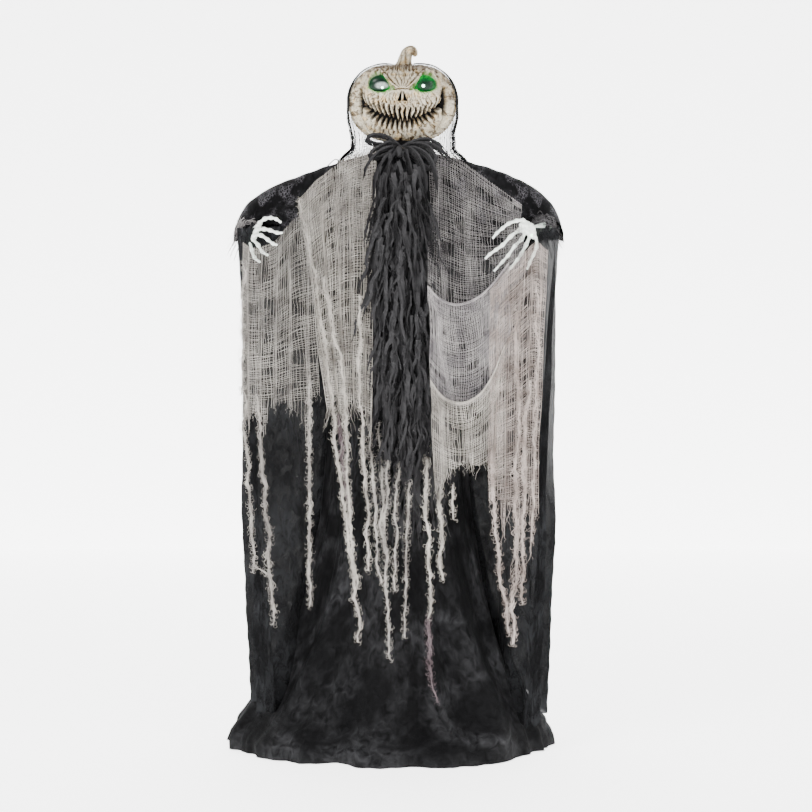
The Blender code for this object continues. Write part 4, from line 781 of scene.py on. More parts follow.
def build_hand(name, skin):
    """Skeletal hand: bones melted together at the palm by a fine remesh."""
    digits = DIGITS[name]
    bones = threads(f"bones_{name}", [bone_path(d) for d in digits], BONE_R, skin, 2)
    bm = bmesh.new()
    bm.from_mesh(bones.data)
    bpy.data.objects.remove(bones)
    wrist = sum((Vector(d[0]) for d in digits), Vector()) / len(digits)
    knuckles = [Vector(d[1]) for d in digits]
    for first, second in zip(knuckles, knuckles[1:]):
        for share in (0.0, 0.35, 0.70):
            centre = wrist.lerp((first + second) / 2, 0.25 + share)
            bmesh.ops.create_uvsphere(bm, u_segments=14, v_segments=10, radius=mix(0.0125, 0.0078, share),
                                      matrix=Matrix.Translation(centre))
    end = Vector(frame_wrist(name))
    out = (end - knuckles[2]).normalized()
    turn = out.to_track_quat("Z", "Y").to_matrix().to_4x4()
    bmesh.ops.create_cone(bm, cap_ends=True, segments=20, radius1=0.0115, radius2=0.0150, depth=0.050,
                          matrix=Matrix.Translation(end + out * 0.012) @ turn)
    rough = from_bmesh(f"hand_shape_{name}", bm, skin)
    remesh = rough.modifiers.new("melt", "REMESH")
    remesh.mode = "VOXEL"
    remesh.voxel_size = 0.0016
    soften = rough.modifiers.new("soften", "SMOOTH")
    soften.factor = 0.5
    soften.iterations = 3
    mesh = bpy.data.meshes.new_from_object(rough.evaluated_get(bpy.context.evaluated_depsgraph_get()))
    bpy.data.objects.remove(rough)
    mesh.materials.clear()
    mesh.shade_smooth()
    hand = link(f"skeleton_hand_{name}", mesh, skin)
    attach(hand, f"arm_{name}")
    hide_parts(f"hand_{name}")


def frame_wrist(name):
    """The hand end of the arm rod, from the frame."""
    low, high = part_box(f"arm_rod_{name}")
    across = low[0] if name == "left" else high[0]
    reach = 0.022 * SIDES[name]
    return (across - reach, low[1] + 0.006, low[2] + 0.006)


# ---------------------------------------------------------------- robe

HEM_CENTRE = Vector((-0.028, -0.030, 0.0))
HEM_HALF = (0.508, 0.352)
WAIST_SHARE = 0.33
FLARE_HEIGHT = 0.42
ROBE_TOP = 1.812


def hem_radius(angle):
    """The hem's reach at an angle: an oval pulled out at the front right and to the left."""
    x = HEM_HALF[0] * math.cos(angle)
    y = HEM_HALF[1] * math.sin(angle)
    front = math.exp(-((angle - math.radians(302)) / 0.36) ** 2)
    left = math.exp(-((angle - math.radians(180)) / 0.40) ** 2)
    return Vector((x * (1 + 0.03 * left), y * (1 + 0.10 * front), 0.0))


def robe_share(height):
    """The robe's width at a height, over its width at the hem."""
    share = WAIST_SHARE + (1 - WAIST_SHARE) / (1 + (height / FLARE_HEIGHT) ** 1.6)
    return share * float(1 - 0.62 * smooth(1.60, ROBE_TOP, height))


# Each long fold: its angle at the waist and at the hem, and its width, in degrees, and its depth
LONG_FOLDS = ((226, 196, 8, 0.030), (244, 222, 7, 0.042), (258, 247, 6, 0.034), (270, 268, 7, 0.040),
              (283, 291, 6, 0.036), (297, 318, 7, 0.044), (312, 344, 8, 0.032), (20, 32, 9, 0.030),
              (62, 58, 9, 0.034), (92, 95, 8, 0.036), (124, 130, 9, 0.034), (160, 155, 9, 0.030))


def pleat(value):
    """A soft fold with a sharper valley than crest, from -1 to 1."""
    return 1 - 2 * abs(math.sin(value)) ** 0.8


def robe_place(u, v):
    """A point of the robe: long folds from the waist that open and pool on the floor."""
    height = ROBE_TOP * (1 - v) ** 1.25
    low = 1 - height / ROBE_TOP
    angle = 2 * math.pi * u
    share = robe_share(height)
    point = HEM_CENTRE * share + hem_radius(angle) * share
    ring = (math.cos(angle), math.sin(angle))
    lean = 0.8 * wander(2.1 * ring[0], 2.1 * ring[1], 0.8 * height)
    broad = wander(2.3 * ring[0] + 7, 2.3 * ring[1], 0.9 * height)
    depth = 0.005 + 0.026 * low ** 2.0
    fold = 0.30 * pleat(4.5 * angle + 2.6 * lean + 0.5 * height) + 1.1 * broad
    fold += 0.5 * wander(6.0 * ring[0], 6.0 * ring[1], 1.6 * height)
    open_share = float(smooth(0.10, 1.0, low))
    ridge = 0.0
    for at_waist, at_hem, wide, deep in LONG_FOLDS:
        turn = abs(math.degrees(angle) + 5 * lean - mix(at_waist, at_hem, low ** 3)) % 360
        turn = min(turn, 360 - turn) / (wide * mix(0.7, 1.3, low))
        ridge += deep * math.exp(-turn * turn) * open_share
    puddle = float(smooth(0.16, 0.0, height))
    outward = Vector((ring[0], ring[1], 0))
    crumple = 0.008 * wander(13 * ring[0], 13 * ring[1], 8 * height)
    heap = 0.018 * wander(5 * ring[0], 5 * ring[1], 20 * height + 1.5 * broad)
    rim = 0.034 * wander(4.5 * ring[0], 4.5 * ring[1], 31.0) + 0.012 * wander(13 * ring[0], 13 * ring[1], 3.0)
    reach = depth * (fold - 0.9) * (1 - 0.5 * puddle) + (ridge - 0.030 * open_share) * (1 - 0.7 * puddle)
    point += outward * (reach + crumple * low + (heap + rim) * puddle)
    height += 0.016 * puddle * (1 + wander(9 * ring[0], 9 * ring[1], 5.0)) * float(smooth(0.0, 0.02, height))
    point.z = max(0.002, height)
    return point


def build_robe(skin):
    """The skirt and body of the robe down to its floor-length hem."""
    robe = cloth("robe_skirt", 420, 200, robe_place, (3.4, 1.95), skin)
    bm = bmesh.new()
    bm.from_mesh(robe.data)
    bmesh.ops.remove_doubles(bm, verts=bm.verts, dist=0.00005)
    bmesh.ops.recalc_face_normals(bm, faces=bm.faces)
    bm.to_mesh(robe.data)
    bm.free()
    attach(robe, "root")
    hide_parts("robe_body")


def build_collar(skin):
    """The gathered cloth that closes the robe's neck up to the underside of the head."""
    def place(u, v):
        angle = 2 * math.pi * u
        size = between([(0.118, 0, 0), (0.104, 0, 0), (0.092, 0, 0), (0.090, 0, 0), (0.086, 0, 0)], v).x
        size += 0.004 * pleat(13 * angle + wander(3 * math.cos(angle), 3 * math.sin(angle)))
        size += 0.004 * wander(5 * math.cos(angle), 5 * math.sin(angle), 5 * v)
        rise = 0.004 * wander(4 * math.cos(angle), 4 * math.sin(angle), 9.0)
        around = Vector((size * math.cos(angle), size * math.sin(angle), mix(1.782, 1.828, v) + rise))
        return Vector((0.004, -0.012, 0.0)) + around

    collar = cloth("robe_collar", 200, 16, place, (0.62, 0.06), skin)
    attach(collar, "root")


def shoulder_line(name, u):
    """The top of the cloth from the neck along the arm to the cuff."""
    side = SIDES[name]
    if name == "left":
        line = [(0.070, 0.010, 1.812), (0.130, 0.000, 1.796), (0.217, -0.015, 1.768), (0.306, -0.055, 1.728),
                (0.385, -0.098, 1.690), (0.450, -0.150, 1.636), (0.474, -0.195, 1.575)]
    else:
        line = [(0.070, 0.010, 1.812), (0.150, 0.000, 1.795), (0.241, -0.020, 1.768), (0.330, -0.065, 1.728),
                (0.400, -0.110, 1.684), (0.442, -0.160, 1.632), (0.458, -0.205, 1.570)]
    at = between(line, u)
    at.x *= side
    return at


def sleeve_place(name):
    """The sleeve thrown over the arm: v runs from its front edge over the arm and down its back."""
    def place(u, v):
        at = shoulder_line(name, u)
        ahead = shoulder_line(name, min(u + 0.03, 1)) - shoulder_line(name, max(u - 0.03, 0))
        level = Vector((ahead.x, ahead.y, 0)).normalized()
        front = Vector((level.y, -level.x, 0))
        if front.y > 0:
            front = -front
        front = front.lerp(Vector((0, -1, 0)), 0.5).normalized()
        across = 2 * v - 1
        hem = 0.014 * wander(9 * u, 3.0, SIDES[name]) + 0.006 * wander(30 * u, 5.0, SIDES[name])
        front_drop = between([(0.16, 0, 0), (0.17, 0, 0), (0.13, 0, 0), (0.055, 0, 0), (0.018, 0, 0)], u).x
        back_drop = between([(0.26, 0, 0), (0.24, 0, 0), (0.18, 0, 0), (0.09, 0, 0), (0.022, 0, 0)], u).x
        drop_length = (front_drop if across < 0 else back_drop) + hem
        over = abs(across)
        bend = min(over / 0.30, 1.0)
        half = mix(0.058, 0.044, u)
        sign = 1 if across < 0 else -1
        point = at + front * (sign * half * math.sin(bend * math.pi / 2))
        point.z -= half * 0.85 * (1 - math.cos(bend * math.pi / 2))
        if over > 0.30:
            fall = (over - 0.30) / 0.70
            point.z -= fall * drop_length
            point += front * (sign * 0.010 * fall)
        wave = 0.006 * pleat(11 * u + 2.5 * wander(3 * u, 4 * v)) + 0.008 * wander(9 * u, 7 * v, 2.0)
        point += front * (sign * wave * over)
        point.z += 0.006 * wander(11 * u, 8 * v, 6.0)
        return point
    return place


def wing_place(name):
    """The sheer curtain that falls from the arm, from inside its front edge round to the back."""
    side = SIDES[name]
    left = name == "left"
    reach = 0.028 if left else 0.012
    lean = 0.012 if left else 0.0
    sink = 0.020 if left else 0.0
    foot = 0.130 if left else 0.100
    top_line = [(0.130, -0.050, 1.640), (0.260, -0.120, 1.575), (0.360 + reach, -0.235, 1.552),
                (0.430 + reach, -0.252, 1.545), (0.462 + reach, -0.205, 1.560 - 0.3 * sink),
                (0.446 + reach, -0.090, 1.605 - sink), (0.350, 0.035, 1.690 - 0.6 * sink),
                (0.190, 0.080, 1.740), (-0.010, 0.095, 1.780)]
    low_line = [(0.150, 0.020, foot), (0.260, -0.060, foot), (0.345 + lean, -0.170, foot),
                (0.398 + lean, -0.235, foot), (0.430 + lean, -0.190, foot),
                (0.430 + lean, -0.040, foot + 0.02), (0.365 + lean, 0.150, 0.170),
                (0.200, 0.245, 0.140), (-0.020, 0.258, 0.140)]

    def place(u, v):
        top = between(top_line, u)
        low = between(low_line, u)
        low.z += 0.035 * wander(7 * u, 1.0, side) + 0.018 * wander(40 * u, 2.0, side)
        at = top.lerp(low, v)
        middle = Vector((0.12, -0.03, at.z))
        outward = at - middle
        outward.z = 0
        outward.normalize()
        waist = math.sin(math.pi * min(v * 1.25, 1.0))
        phase = 21 * u + 2.6 * wander(2 * u, v, 7.0) + 0.9 * v
        fold = 0.7 * pleat(phase) + 0.6 * pleat(0.43 * phase + 2.0 * wander(1.5 * u, 0.8 * v, 2.0))
        at += outward * ((0.010 + 0.022 * v) * (fold - 0.5) - 0.006 * waist)
        at += outward * (0.014 * wander(7 * u, 3.5 * v, side * 3.0) + 0.004 * wander(23 * u, 9 * v, side))
        at.z = max(at.z, 0.006)
        at.x *= side
        return at
    return place


def build_sleeves(skin, sheer):
    """Sleeves and the sheer wings that hang from the arms."""
    for name, side in SIDES.items():
        sleeve = cloth(f"sleeve_drape_{name}", 130, 90, sleeve_place(name), (0.56, 0.36), skin)
        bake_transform(sleeve)
        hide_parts(f"sleeve_{name}")
        wing = cloth(f"sheer_wing_{name}", 360, 140, wing_place(name), (1.45, 1.45), sheer)
        thin = wing.data.attributes.new("thin", "FLOAT", "POINT").data
        edge = 0.400 if name == "right" else 0.455
        most = 1.0 if name == "right" else 0.4
        places = [v.co for v in wing.data.vertices]
        values = [float(smooth(edge, edge + 0.035, side * at.x) * smooth(0.6, 1.0, at.z)) for at in places]
        thin.foreach_set("value", [most * value for value in values])
        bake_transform(wing)
        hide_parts(f"wing_{name}")


# ---------------------------------------------------------------- veil

def veil_place(u, v):
    """The net hood: it hugs the crown just behind the face and falls to the shoulders."""
    turn = math.radians(mix(-9.0, 189.0, u))
    side = math.cos(turn)
    if v < 0.42:
        lat = math.radians(mix(84.0, 8.0, v / 0.42))
        x, y, z = pumpkin(np.array([turn]), np.array([lat]))
        local = Vector((float(x[0]), float(y[0]), float(z[0])))
        local *= 1.008 + 0.004 / max(local.length, 0.05)
        return HEAD_PLACE @ local + Vector((0, 0, 0.002 * wander(20 * u, 12 * v)))
    x, y, z = pumpkin(np.array([turn]), np.array([math.radians(8.0)]))
    start = HEAD_PLACE @ (Vector((float(x[0]), float(y[0]), float(z[0]))) * 1.034)
    fall = (v - 0.42) / 0.58
    end = Vector((start.x, start.y + 0.008, 1.800 - 0.030 * abs(side)))
    point = start.lerp(end, fall)
    outward = Vector((side, math.sin(turn), 0))
    tuck = 0.012 * float(smooth(0.25, 0.65, fall)) - 0.040 * float(smooth(0.75, 1.0, fall))
    wave = 0.006 * pleat(17 * turn + 2 * wander(3 * u, 4 * v)) * fall
    point -= outward * (tuck * abs(side)) - outward * wave
    point += Vector((0.004 * wander(9 * u, 9 * v), 0.004 * wander(9 * u, 9 * v, 4.0), 0)) * fall
    return point


def build_veil(skin, hem_skin):
    """The net over the back of the head and its rolled black hem."""
    veil = cloth("net_hood", 130, 90, veil_place, (0.62, 0.52), skin)
    dice = random.Random(3)
    paths = []
    for edge, reach in ((1.0, 1), (0.0, -1)):
        for k in range(9):
            inset = 0.004 * k * dice.uniform(0.4, 1.0)
            path = []
            for s in range(70):
                v = s / 69
                u = edge - (2 * edge - 1) * (inset + 0.006 * wander(6 * v, k, reach))
                path.append((veil_place(min(max(u, 0), 1), v), 1.0 + 0.4 * wander(9 * v, k)))
            tail = path[-1][0]
            if edge == 1.0:
                fall = [(-0.205, -0.075, 1.772), (-0.255, -0.125, 1.705), (-0.304, -0.185, 1.632)]
            else:
                fall = [(0.185, -0.060, 1.790), (0.200, -0.110, 1.758), (0.215, -0.140, 1.730)]
            drift = Vector((0.004 * wander(k, 3.0), 0.004 * wander(k, 7.0), 0.003 * wander(k, 9.0)))
            line = [tail, *[Vector(p) + drift for p in fall]]
            path += [(between(line, s / 24), 1.0) for s in range(1, 25)]
            paths.append(path)
    for k in range(34):
        u = (1.0 - 0.10 * dice.random()) if k % 2 else 0.10 * dice.random()
        begin = dice.uniform(0.50, 0.75)
        path = []
        for s in range(16):
            v = begin + (1 - begin) * s / 15
            at = veil_place(min(max(u + 0.03 * wander(5 * v, k), 0), 1), v)
            path.append((at, 0.45))
        paths.append(path)
    hem = threads("net_hood_hem", paths, 0.0014, hem_skin)
    for piece in (veil, hem):
        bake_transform(piece)
    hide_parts("hood_veil")


# ---------------------------------------------------------------- gauze

def drop(top, low, bow, folds, depth, seed, gather):
    """A hanging panel between a top and a low edge, bowed forwards, with folds that bunch its yarns."""
    def place(u, v):
        phase = 2 * math.pi * folds * u + 2.5 * wander(1.5 * u, 1.5 * v, seed + 8)
        bunch = gather * math.sin(phase) / (folds * 6.28)
        across = min(max(u + bunch * float(smooth(0.0, 0.25, v)), 0), 1)
        at = between(top, across).lerp(between(low, across), v)
        at.y -= bow * math.sin(math.pi * min(v, 1.0))
        at.y -= depth * (0.3 + 0.7 * v) * math.cos(phase)
        at.x += 0.4 * depth * wander(6 * u, 4 * v, seed + 5)
        at.y += 0.005 * wander(8 * u, 9 * v, seed + 2)
        return at
    return place


def weave(name, place, size, pitch, radius, skin, seed, bottom, pulled=0.5, fringe=0.05, rolled=0):
    """Open gauze: warp and weft yarns along a panel, with pulled ladders, a frayed edge and a rolled one."""
    dice = random.Random(seed)
    paths = []
    across = int(size[0] / pitch)
    down = int(size[1] / pitch)
    for k in range(across + 1):
        u = (k + dice.uniform(-0.3, 0.3)) / across
        u = min(max(u, 0.0), 1.0)
        end = bottom(u)
        steps = max(8, int(size[1] * end / 0.013))
        path = []
        for s in range(steps + 1):
            v = end * s / steps
            slip = pulled * 0.020 * wander(k * 0.45, 7 * v, seed) + 0.006 * wander(k * 3.3, 34 * v, seed)
            thick = 0.75 + 0.6 * abs(wander(k * 2.1, 9 * v, seed + 1))
            path.append((place(min(max(u + slip, 0), 1), v), thick))
        if dice.random() < 0.80:
            last = path[-1][0].copy()
            drift = Vector((dice.uniform(-0.35, 0.35), dice.uniform(-0.15, 0.0), -1.0))
            length = fringe * dice.uniform(0.15, 1.0)
            for s in range(1, 6):
                swing = Vector((wander(k, s * 0.8, seed), 0, 0)) * 0.009
                path.append((last + drift * (length * s / 5) + swing, 0.7 - 0.08 * s))
        paths.append(path)
    for k in range(1, down):
        v = (k + dice.uniform(-0.3, 0.3)) / down
        steps = max(8, int(size[0] / 0.008))
        path = []
        for s in range(steps + 1):
            u = s / steps
            gap = wander(7.0 * u, 0.16 * k, seed + 9) > mix(0.42, 0.16, pulled)
            dip = v + 0.010 * pulled * wander(5 * u, k * 0.5, seed + 3)
            dip += 0.0030 * wander(60 * u, k * 1.9, seed)
            if dip > bottom(u) or (gap and pulled > 0):
                paths.append(path)
                path = []
                continue
            thick = 0.65 + 0.6 * abs(wander(u * 9, k * 1.7, seed + 4))
            path.append((place(u, min(max(dip, 0), 1)) + Vector((0, -radius, 0)), thick))
        paths.append(path)
    for k in range(rolled):
        path = []
        for s in range(61):
            u = s / 60
            turn = 2 * math.pi * (k / rolled + 9 * u)
            roll = Vector((0, 0.0028 * math.sin(turn) - 0.003, 0.0032 * math.cos(turn)))
            path.append((place(u, 0.0) + roll, 1.5 + 0.7 * wander(17 * u, k, seed)))
        paths.append(path)
    return threads(name, [p for p in paths if len(p) > 1], radius, skin)


def torn(points, frays, seed):
    """A torn lower edge: how much of the panel is left at each place across it, with long points."""
    def left(u):
        share = between([(p, 0, 0) for p in points], u).x
        for at, wide, long in frays:
            share += long * math.exp(-((u - at) / wide) ** 2)
        return min(1.0, share + 0.018 * wander(19 * u, seed) + 0.012 * wander(47 * u, seed))
    return left


def haze_cloth(name, dark, light, cover):
    """The gauze's own fine fluff: a faint see-through web between the yarns."""
    made, tree, shader = material(name, Roughness=0.95)
    where = add(tree, "ShaderNodeTexCoord").outputs["UV"]
    blotch = add(tree, "ShaderNodeTexNoise", None, Vector=where, Scale=1 / (30 * MM), Detail=5.0)
    fine = add(tree, "ShaderNodeTexNoise", None, Vector=where, Scale=1 / (3 * MM), Detail=4.0)
    total = add(tree, "ShaderNodeMath", {"operation": "MULTIPLY"},
                _0=blotch.outputs["Fac"], _1=fine.outputs["Fac"])
    veil = add(tree, "ShaderNodeMapRange", None, Value=total.outputs[0], _1=0.14, _2=0.42, _3=0.0, _4=cover)
    tree.links.new(veil.outputs[0], shader.inputs["Alpha"])
    colour = add(tree, "ShaderNodeMix", {"data_type": "RGBA"}, _0=blotch.outputs["Fac"],
                 _6=linear(dark), _7=linear(light))
    tree.links.new(colour.outputs[2], shader.inputs["Base Color"])
    return made


PANELS = {
    "gauze_left_panel": dict(
        top=[(-0.456, -0.285, 1.500), (-0.420, -0.340, 1.478), (-0.360, -0.325, 1.500),
             (-0.320, -0.270, 1.560), (-0.262, -0.235, 1.600)],
        low=[(-0.452, -0.345, 0.930), (-0.400, -0.352, 0.930), (-0.320, -0.350, 0.930),
             (-0.225, -0.315, 0.930)],
        bow=0.008, folds=5, depth=0.006, gather=0.65, size=(0.27, 0.58), pitch=0.0052, radius=0.00052,
        yarn="pale", bottom=torn([0.90, 0.86, 0.84, 0.82, 0.86, 0.80], [(0.16, 0.03, 0.1), (0.40, 0.03, 0.14),
                                                                       (0.84, 0.04, 0.16)], 11.0),
        pulled=0.8, fringe=0.03, body="arm_left", hold=(1.02, 1.42), node="gauze_left_panel"),
    "gauze_left_chest": dict(
        top=[(-0.304, -0.190, 1.635), (-0.255, -0.135, 1.700), (-0.200, -0.110, 1.748),
             (-0.140, -0.105, 1.785), (-0.075, -0.125, 1.800)],
        low=[(-0.205, -0.262, 0.960), (-0.175, -0.268, 0.945), (-0.140, -0.268, 0.930),
             (-0.085, -0.250, 0.900)],
        bow=0.032, folds=5, depth=0.011, gather=1.05, size=(0.27, 0.84), pitch=0.0046, radius=0.00062,
        yarn="bright",
        bottom=torn([0.92, 0.86, 0.93, 0.85, 0.95], [(0.12, 0.04, 0.1), (0.5, 0.04, 0.12)], 4.0),
        pulled=0.35, fringe=0.08, body=None, hold=None, node="gauze_left_chest"),
    "gauze_left_neck": dict(
        top=[(-0.190, -0.112, 1.762), (-0.150, -0.105, 1.784), (-0.110, -0.112, 1.800),
             (-0.070, -0.130, 1.808)],
        low=[(-0.215, -0.200, 1.500), (-0.165, -0.215, 1.480), (-0.120, -0.225, 1.470),
             (-0.080, -0.225, 1.480)],
        bow=0.020, folds=3, depth=0.006, gather=0.5, size=(0.16, 0.33), pitch=0.0070, radius=0.00065,
        yarn="pale", bottom=torn([0.75, 0.95, 0.80, 0.9], [(0.3, 0.05, 0.1)], 14.0),
        pulled=0.9, fringe=0.05, body=None, hold=None, node=None),
    "gauze_right_chest": dict(
        top=[(0.086, -0.130, 1.802), (0.130, -0.115, 1.796), (0.180, -0.125, 1.765), (0.235, -0.150, 1.720),
             (0.300, -0.190, 1.665), (0.355, -0.215, 1.620)],
        low=[(0.078, -0.262, 1.330), (0.140, -0.272, 1.290), (0.190, -0.275, 1.280), (0.250, -0.275, 1.300),
             (0.310, -0.270, 1.350), (0.370, -0.262, 1.420)],
        bow=0.030, folds=3, depth=0.005, gather=0.55, size=(0.30, 0.50), pitch=0.0062, radius=0.00050,
        yarn="grey", bottom=torn([1.0, 1.0, 1.0], [], 21.0), pulled=0.45, fringe=0.01, rolled=0,
        body="arm_right", hold=(1.25, 1.55), across=(0.20, 0.36), node="gauze_right_chest"),
    "gauze_right_swag": dict(
        top=[(0.078, -0.268, 1.372), (0.112, -0.286, 1.336), (0.160, -0.296, 1.318), (0.215, -0.300, 1.334),
             (0.262, -0.300, 1.374), (0.312, -0.292, 1.438)],
        low=[(0.086, -0.285, 1.085), (0.130, -0.296, 1.040), (0.180, -0.302, 1.025), (0.235, -0.304, 1.045),
             (0.275, -0.306, 1.095), (0.320, -0.310, 1.180)],
        bow=0.010, folds=2, depth=0.004, gather=0.4, size=(0.28, 0.31), pitch=0.0046, radius=0.00055,
        yarn="smoke", bottom=torn([1.0, 1.0, 1.0], [], 25.0), pulled=0.35, fringe=0.01, rolled=5,
        body="arm_right", hold=(1.25, 1.55), across=(0.20, 0.36), node=None),
    "gauze_right_skirt": dict(
        top=[(0.086, -0.296, 1.098), (0.122, -0.312, 1.052), (0.172, -0.320, 1.034), (0.222, -0.322, 1.056),
             (0.262, -0.322, 1.110), (0.300, -0.318, 1.200)],
        low=[(0.096, -0.312, 0.760), (0.150, -0.322, 0.750), (0.200, -0.325, 0.750), (0.250, -0.325, 0.760),
             (0.300, -0.322, 0.780)],
        bow=0.004, folds=3, depth=0.006, gather=0.5, size=(0.22, 0.28), pitch=0.0046, radius=0.00060,
        yarn="bright", bottom=torn([0.92, 0.78, 0.60, 0.66, 0.72, 1.0], [(0.12, 0.04, 0.1)], 27.0),
        pulled=0.40, fringe=0.04, rolled=5, body=None, hold=None, node=None),
    "gauze_right_column": dict(
        top=[(0.258, -0.302, 1.360), (0.300, -0.306, 1.410), (0.345, -0.300, 1.455), (0.390, -0.285, 1.500),
             (0.428, -0.262, 1.480)],
        low=[(0.248, -0.345, 0.600), (0.300, -0.350, 0.590), (0.345, -0.350, 0.590), (0.386, -0.340, 0.600)],
        bow=0.004, folds=5, depth=0.011, gather=1.10, size=(0.17, 0.86), pitch=0.0040, radius=0.00062,
        yarn="pink", bottom=torn([0.80, 0.72, 0.90, 0.78, 0.86], [(0.25, 0.06, 0.2), (0.55, 0.05, 0.15),
                                                                  (0.85, 0.05, 0.2)], 31.0),
        pulled=0.45, fringe=0.09, body="arm_right", hold=(0.95, 1.38), node="gauze_right_column"),
}


def build_gauze(yarns, hazes):
    """Each gauze panel: a faint web, and its yarns over it."""
    for k, (name, p) in enumerate(PANELS.items()):
        place = drop(p["top"], p["low"], p["bow"], p["folds"], p["depth"], 3.0 * k, p["gather"])

        def web_place(u, v, place=place, bottom=p["bottom"]):
            at = place(u, v * bottom(u))
            at.y += 0.003
            return at

        web = cloth(f"{name}_web", 70, 110, web_place, p["size"], hazes[p["yarn"]])
        yarn = weave(f"{name}_yarns", place, p["size"], p["pitch"], p["radius"], yarns[p["yarn"]], 40 + k,
                     p["bottom"], p["pulled"], p["fringe"], p.get("rolled", 0))
        for piece in (web, yarn):
            if p["body"]:
                inner, outer = p.get("across", (0.3, 0.3))
                low, high = p["hold"]
                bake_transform(piece)
            else:
                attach(piece, "root")
        if p["node"]:
            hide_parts(p["node"])


# ---------------------------------------------------------------- strands

# Frayed strands: where each starts and ends, (x, y, z), its thickness, its yarn, and what carries it
STRANDS = {
    "left": ("arm_left", (1.02, 1.42), [
        ((-0.450, -0.348, 1.440), (-0.448, -0.350, 1.060), 0.7, "pale"),
        ((-0.448, -0.350, 1.080), (-0.418, -0.352, 0.552), 1.2, "pale"),
        ((-0.412, -0.352, 1.060), (-0.363, -0.352, 0.440), 1.5, "pale"),
        ((-0.363, -0.352, 0.450), (-0.360, -0.352, 0.405), 0.3, "pale"),
        ((-0.262, -0.330, 1.120), (-0.258, -0.345, 0.455), 1.5, "pale"),
        ((-0.420, -0.353, 0.575), (-0.372, -0.353, 0.545), 0.6, "pale"),
    ]),
    "centre": (None, None, [
        ((-0.298, -0.200, 1.640), (-0.235, -0.262, 1.300), 0.9, "bright"),
        ((-0.238, -0.262, 1.310), (-0.196, -0.268, 1.000), 1.5, "bright"),
        ((-0.200, -0.268, 1.020), (-0.150, -0.300, 0.640), 1.2, "bright"),
        ((-0.152, -0.300, 0.660), (-0.128, -0.312, 0.515), 0.9, "bright"),
        ((-0.222, -0.262, 1.400), (-0.160, -0.280, 1.100), 1.2, "bright"),
        ((-0.160, -0.280, 1.110), (-0.158, -0.282, 0.860), 1.8, "bright"),
        ((-0.185, -0.272, 1.000), (-0.152, -0.286, 0.730), 1.6, "mauve"),
        ((-0.158, -0.282, 0.880), (-0.120, -0.322, 0.349), 1.4, "bright"),
        ((-0.120, -0.270, 1.350), (-0.118, -0.276, 1.020), 1.1, "bright"),
        ((-0.118, -0.276, 1.030), (-0.088, -0.300, 0.552), 1.2, "bright"),
        ((-0.092, -0.300, 0.960), (-0.058, -0.318, 0.520), 1.0, "pale"),
        ((-0.064, -0.300, 0.980), (-0.030, -0.330, 0.303), 1.2, "pale"),
        ((-0.040, -0.305, 0.930), (-0.050, -0.318, 0.600), 0.8, "pale"),
        ((-0.004, -0.312, 0.920), (-0.021, -0.322, 0.496), 0.6, "pale"),
        ((0.026, -0.315, 0.900), (0.010, -0.326, 0.364), 0.7, "pale"),
        ((0.070, -0.312, 0.960), (0.080, -0.350, 0.420), 1.3, "bright"),
        ((0.080, -0.350, 0.430), (0.088, -0.382, 0.262), 2.2, "mauve"),
        ((0.088, -0.382, 0.272), (0.112, -0.388, 0.190), 0.3, "mauve"),
        ((0.112, -0.318, 0.820), (0.121, -0.320, 0.528), 1.0, "bright"),
        ((0.150, -0.322, 0.800), (0.152, -0.324, 0.700), 0.5, "bright"),
    ]),
    "right": ("arm_right", (0.95, 1.38), [
        ((0.262, -0.352, 0.900), (0.275, -0.358, 0.560), 1.3, "pink"),
        ((0.275, -0.358, 0.580), (0.300, -0.358, 0.381), 1.0, "pink"),
        ((0.330, -0.354, 1.300), (0.332, -0.356, 0.900), 1.3, "pink"),
        ((0.332, -0.356, 0.920), (0.318, -0.360, 0.350), 1.6, "pink"),
        ((0.365, -0.350, 1.100), (0.345, -0.356, 0.600), 1.2, "pink"),
        ((0.345, -0.356, 0.620), (0.350, -0.356, 0.465), 1.0, "pink"),
        ((0.392, -0.335, 1.380), (0.388, -0.340, 0.960), 0.9, "pink"),
        ((0.388, -0.340, 0.980), (0.375, -0.345, 0.640), 0.8, "pink"),
    ]),
}


# A hair's curl: its reach out of the strand and its turn to the side, as shares, and its thickness
HAIR_CURL = ((0.0, 0.0, 1.0), (0.6, 0.15, 0.9), (1.0, 0.5, 0.8), (0.9, 0.95, 0.7), (0.45, 1.15, 0.5))


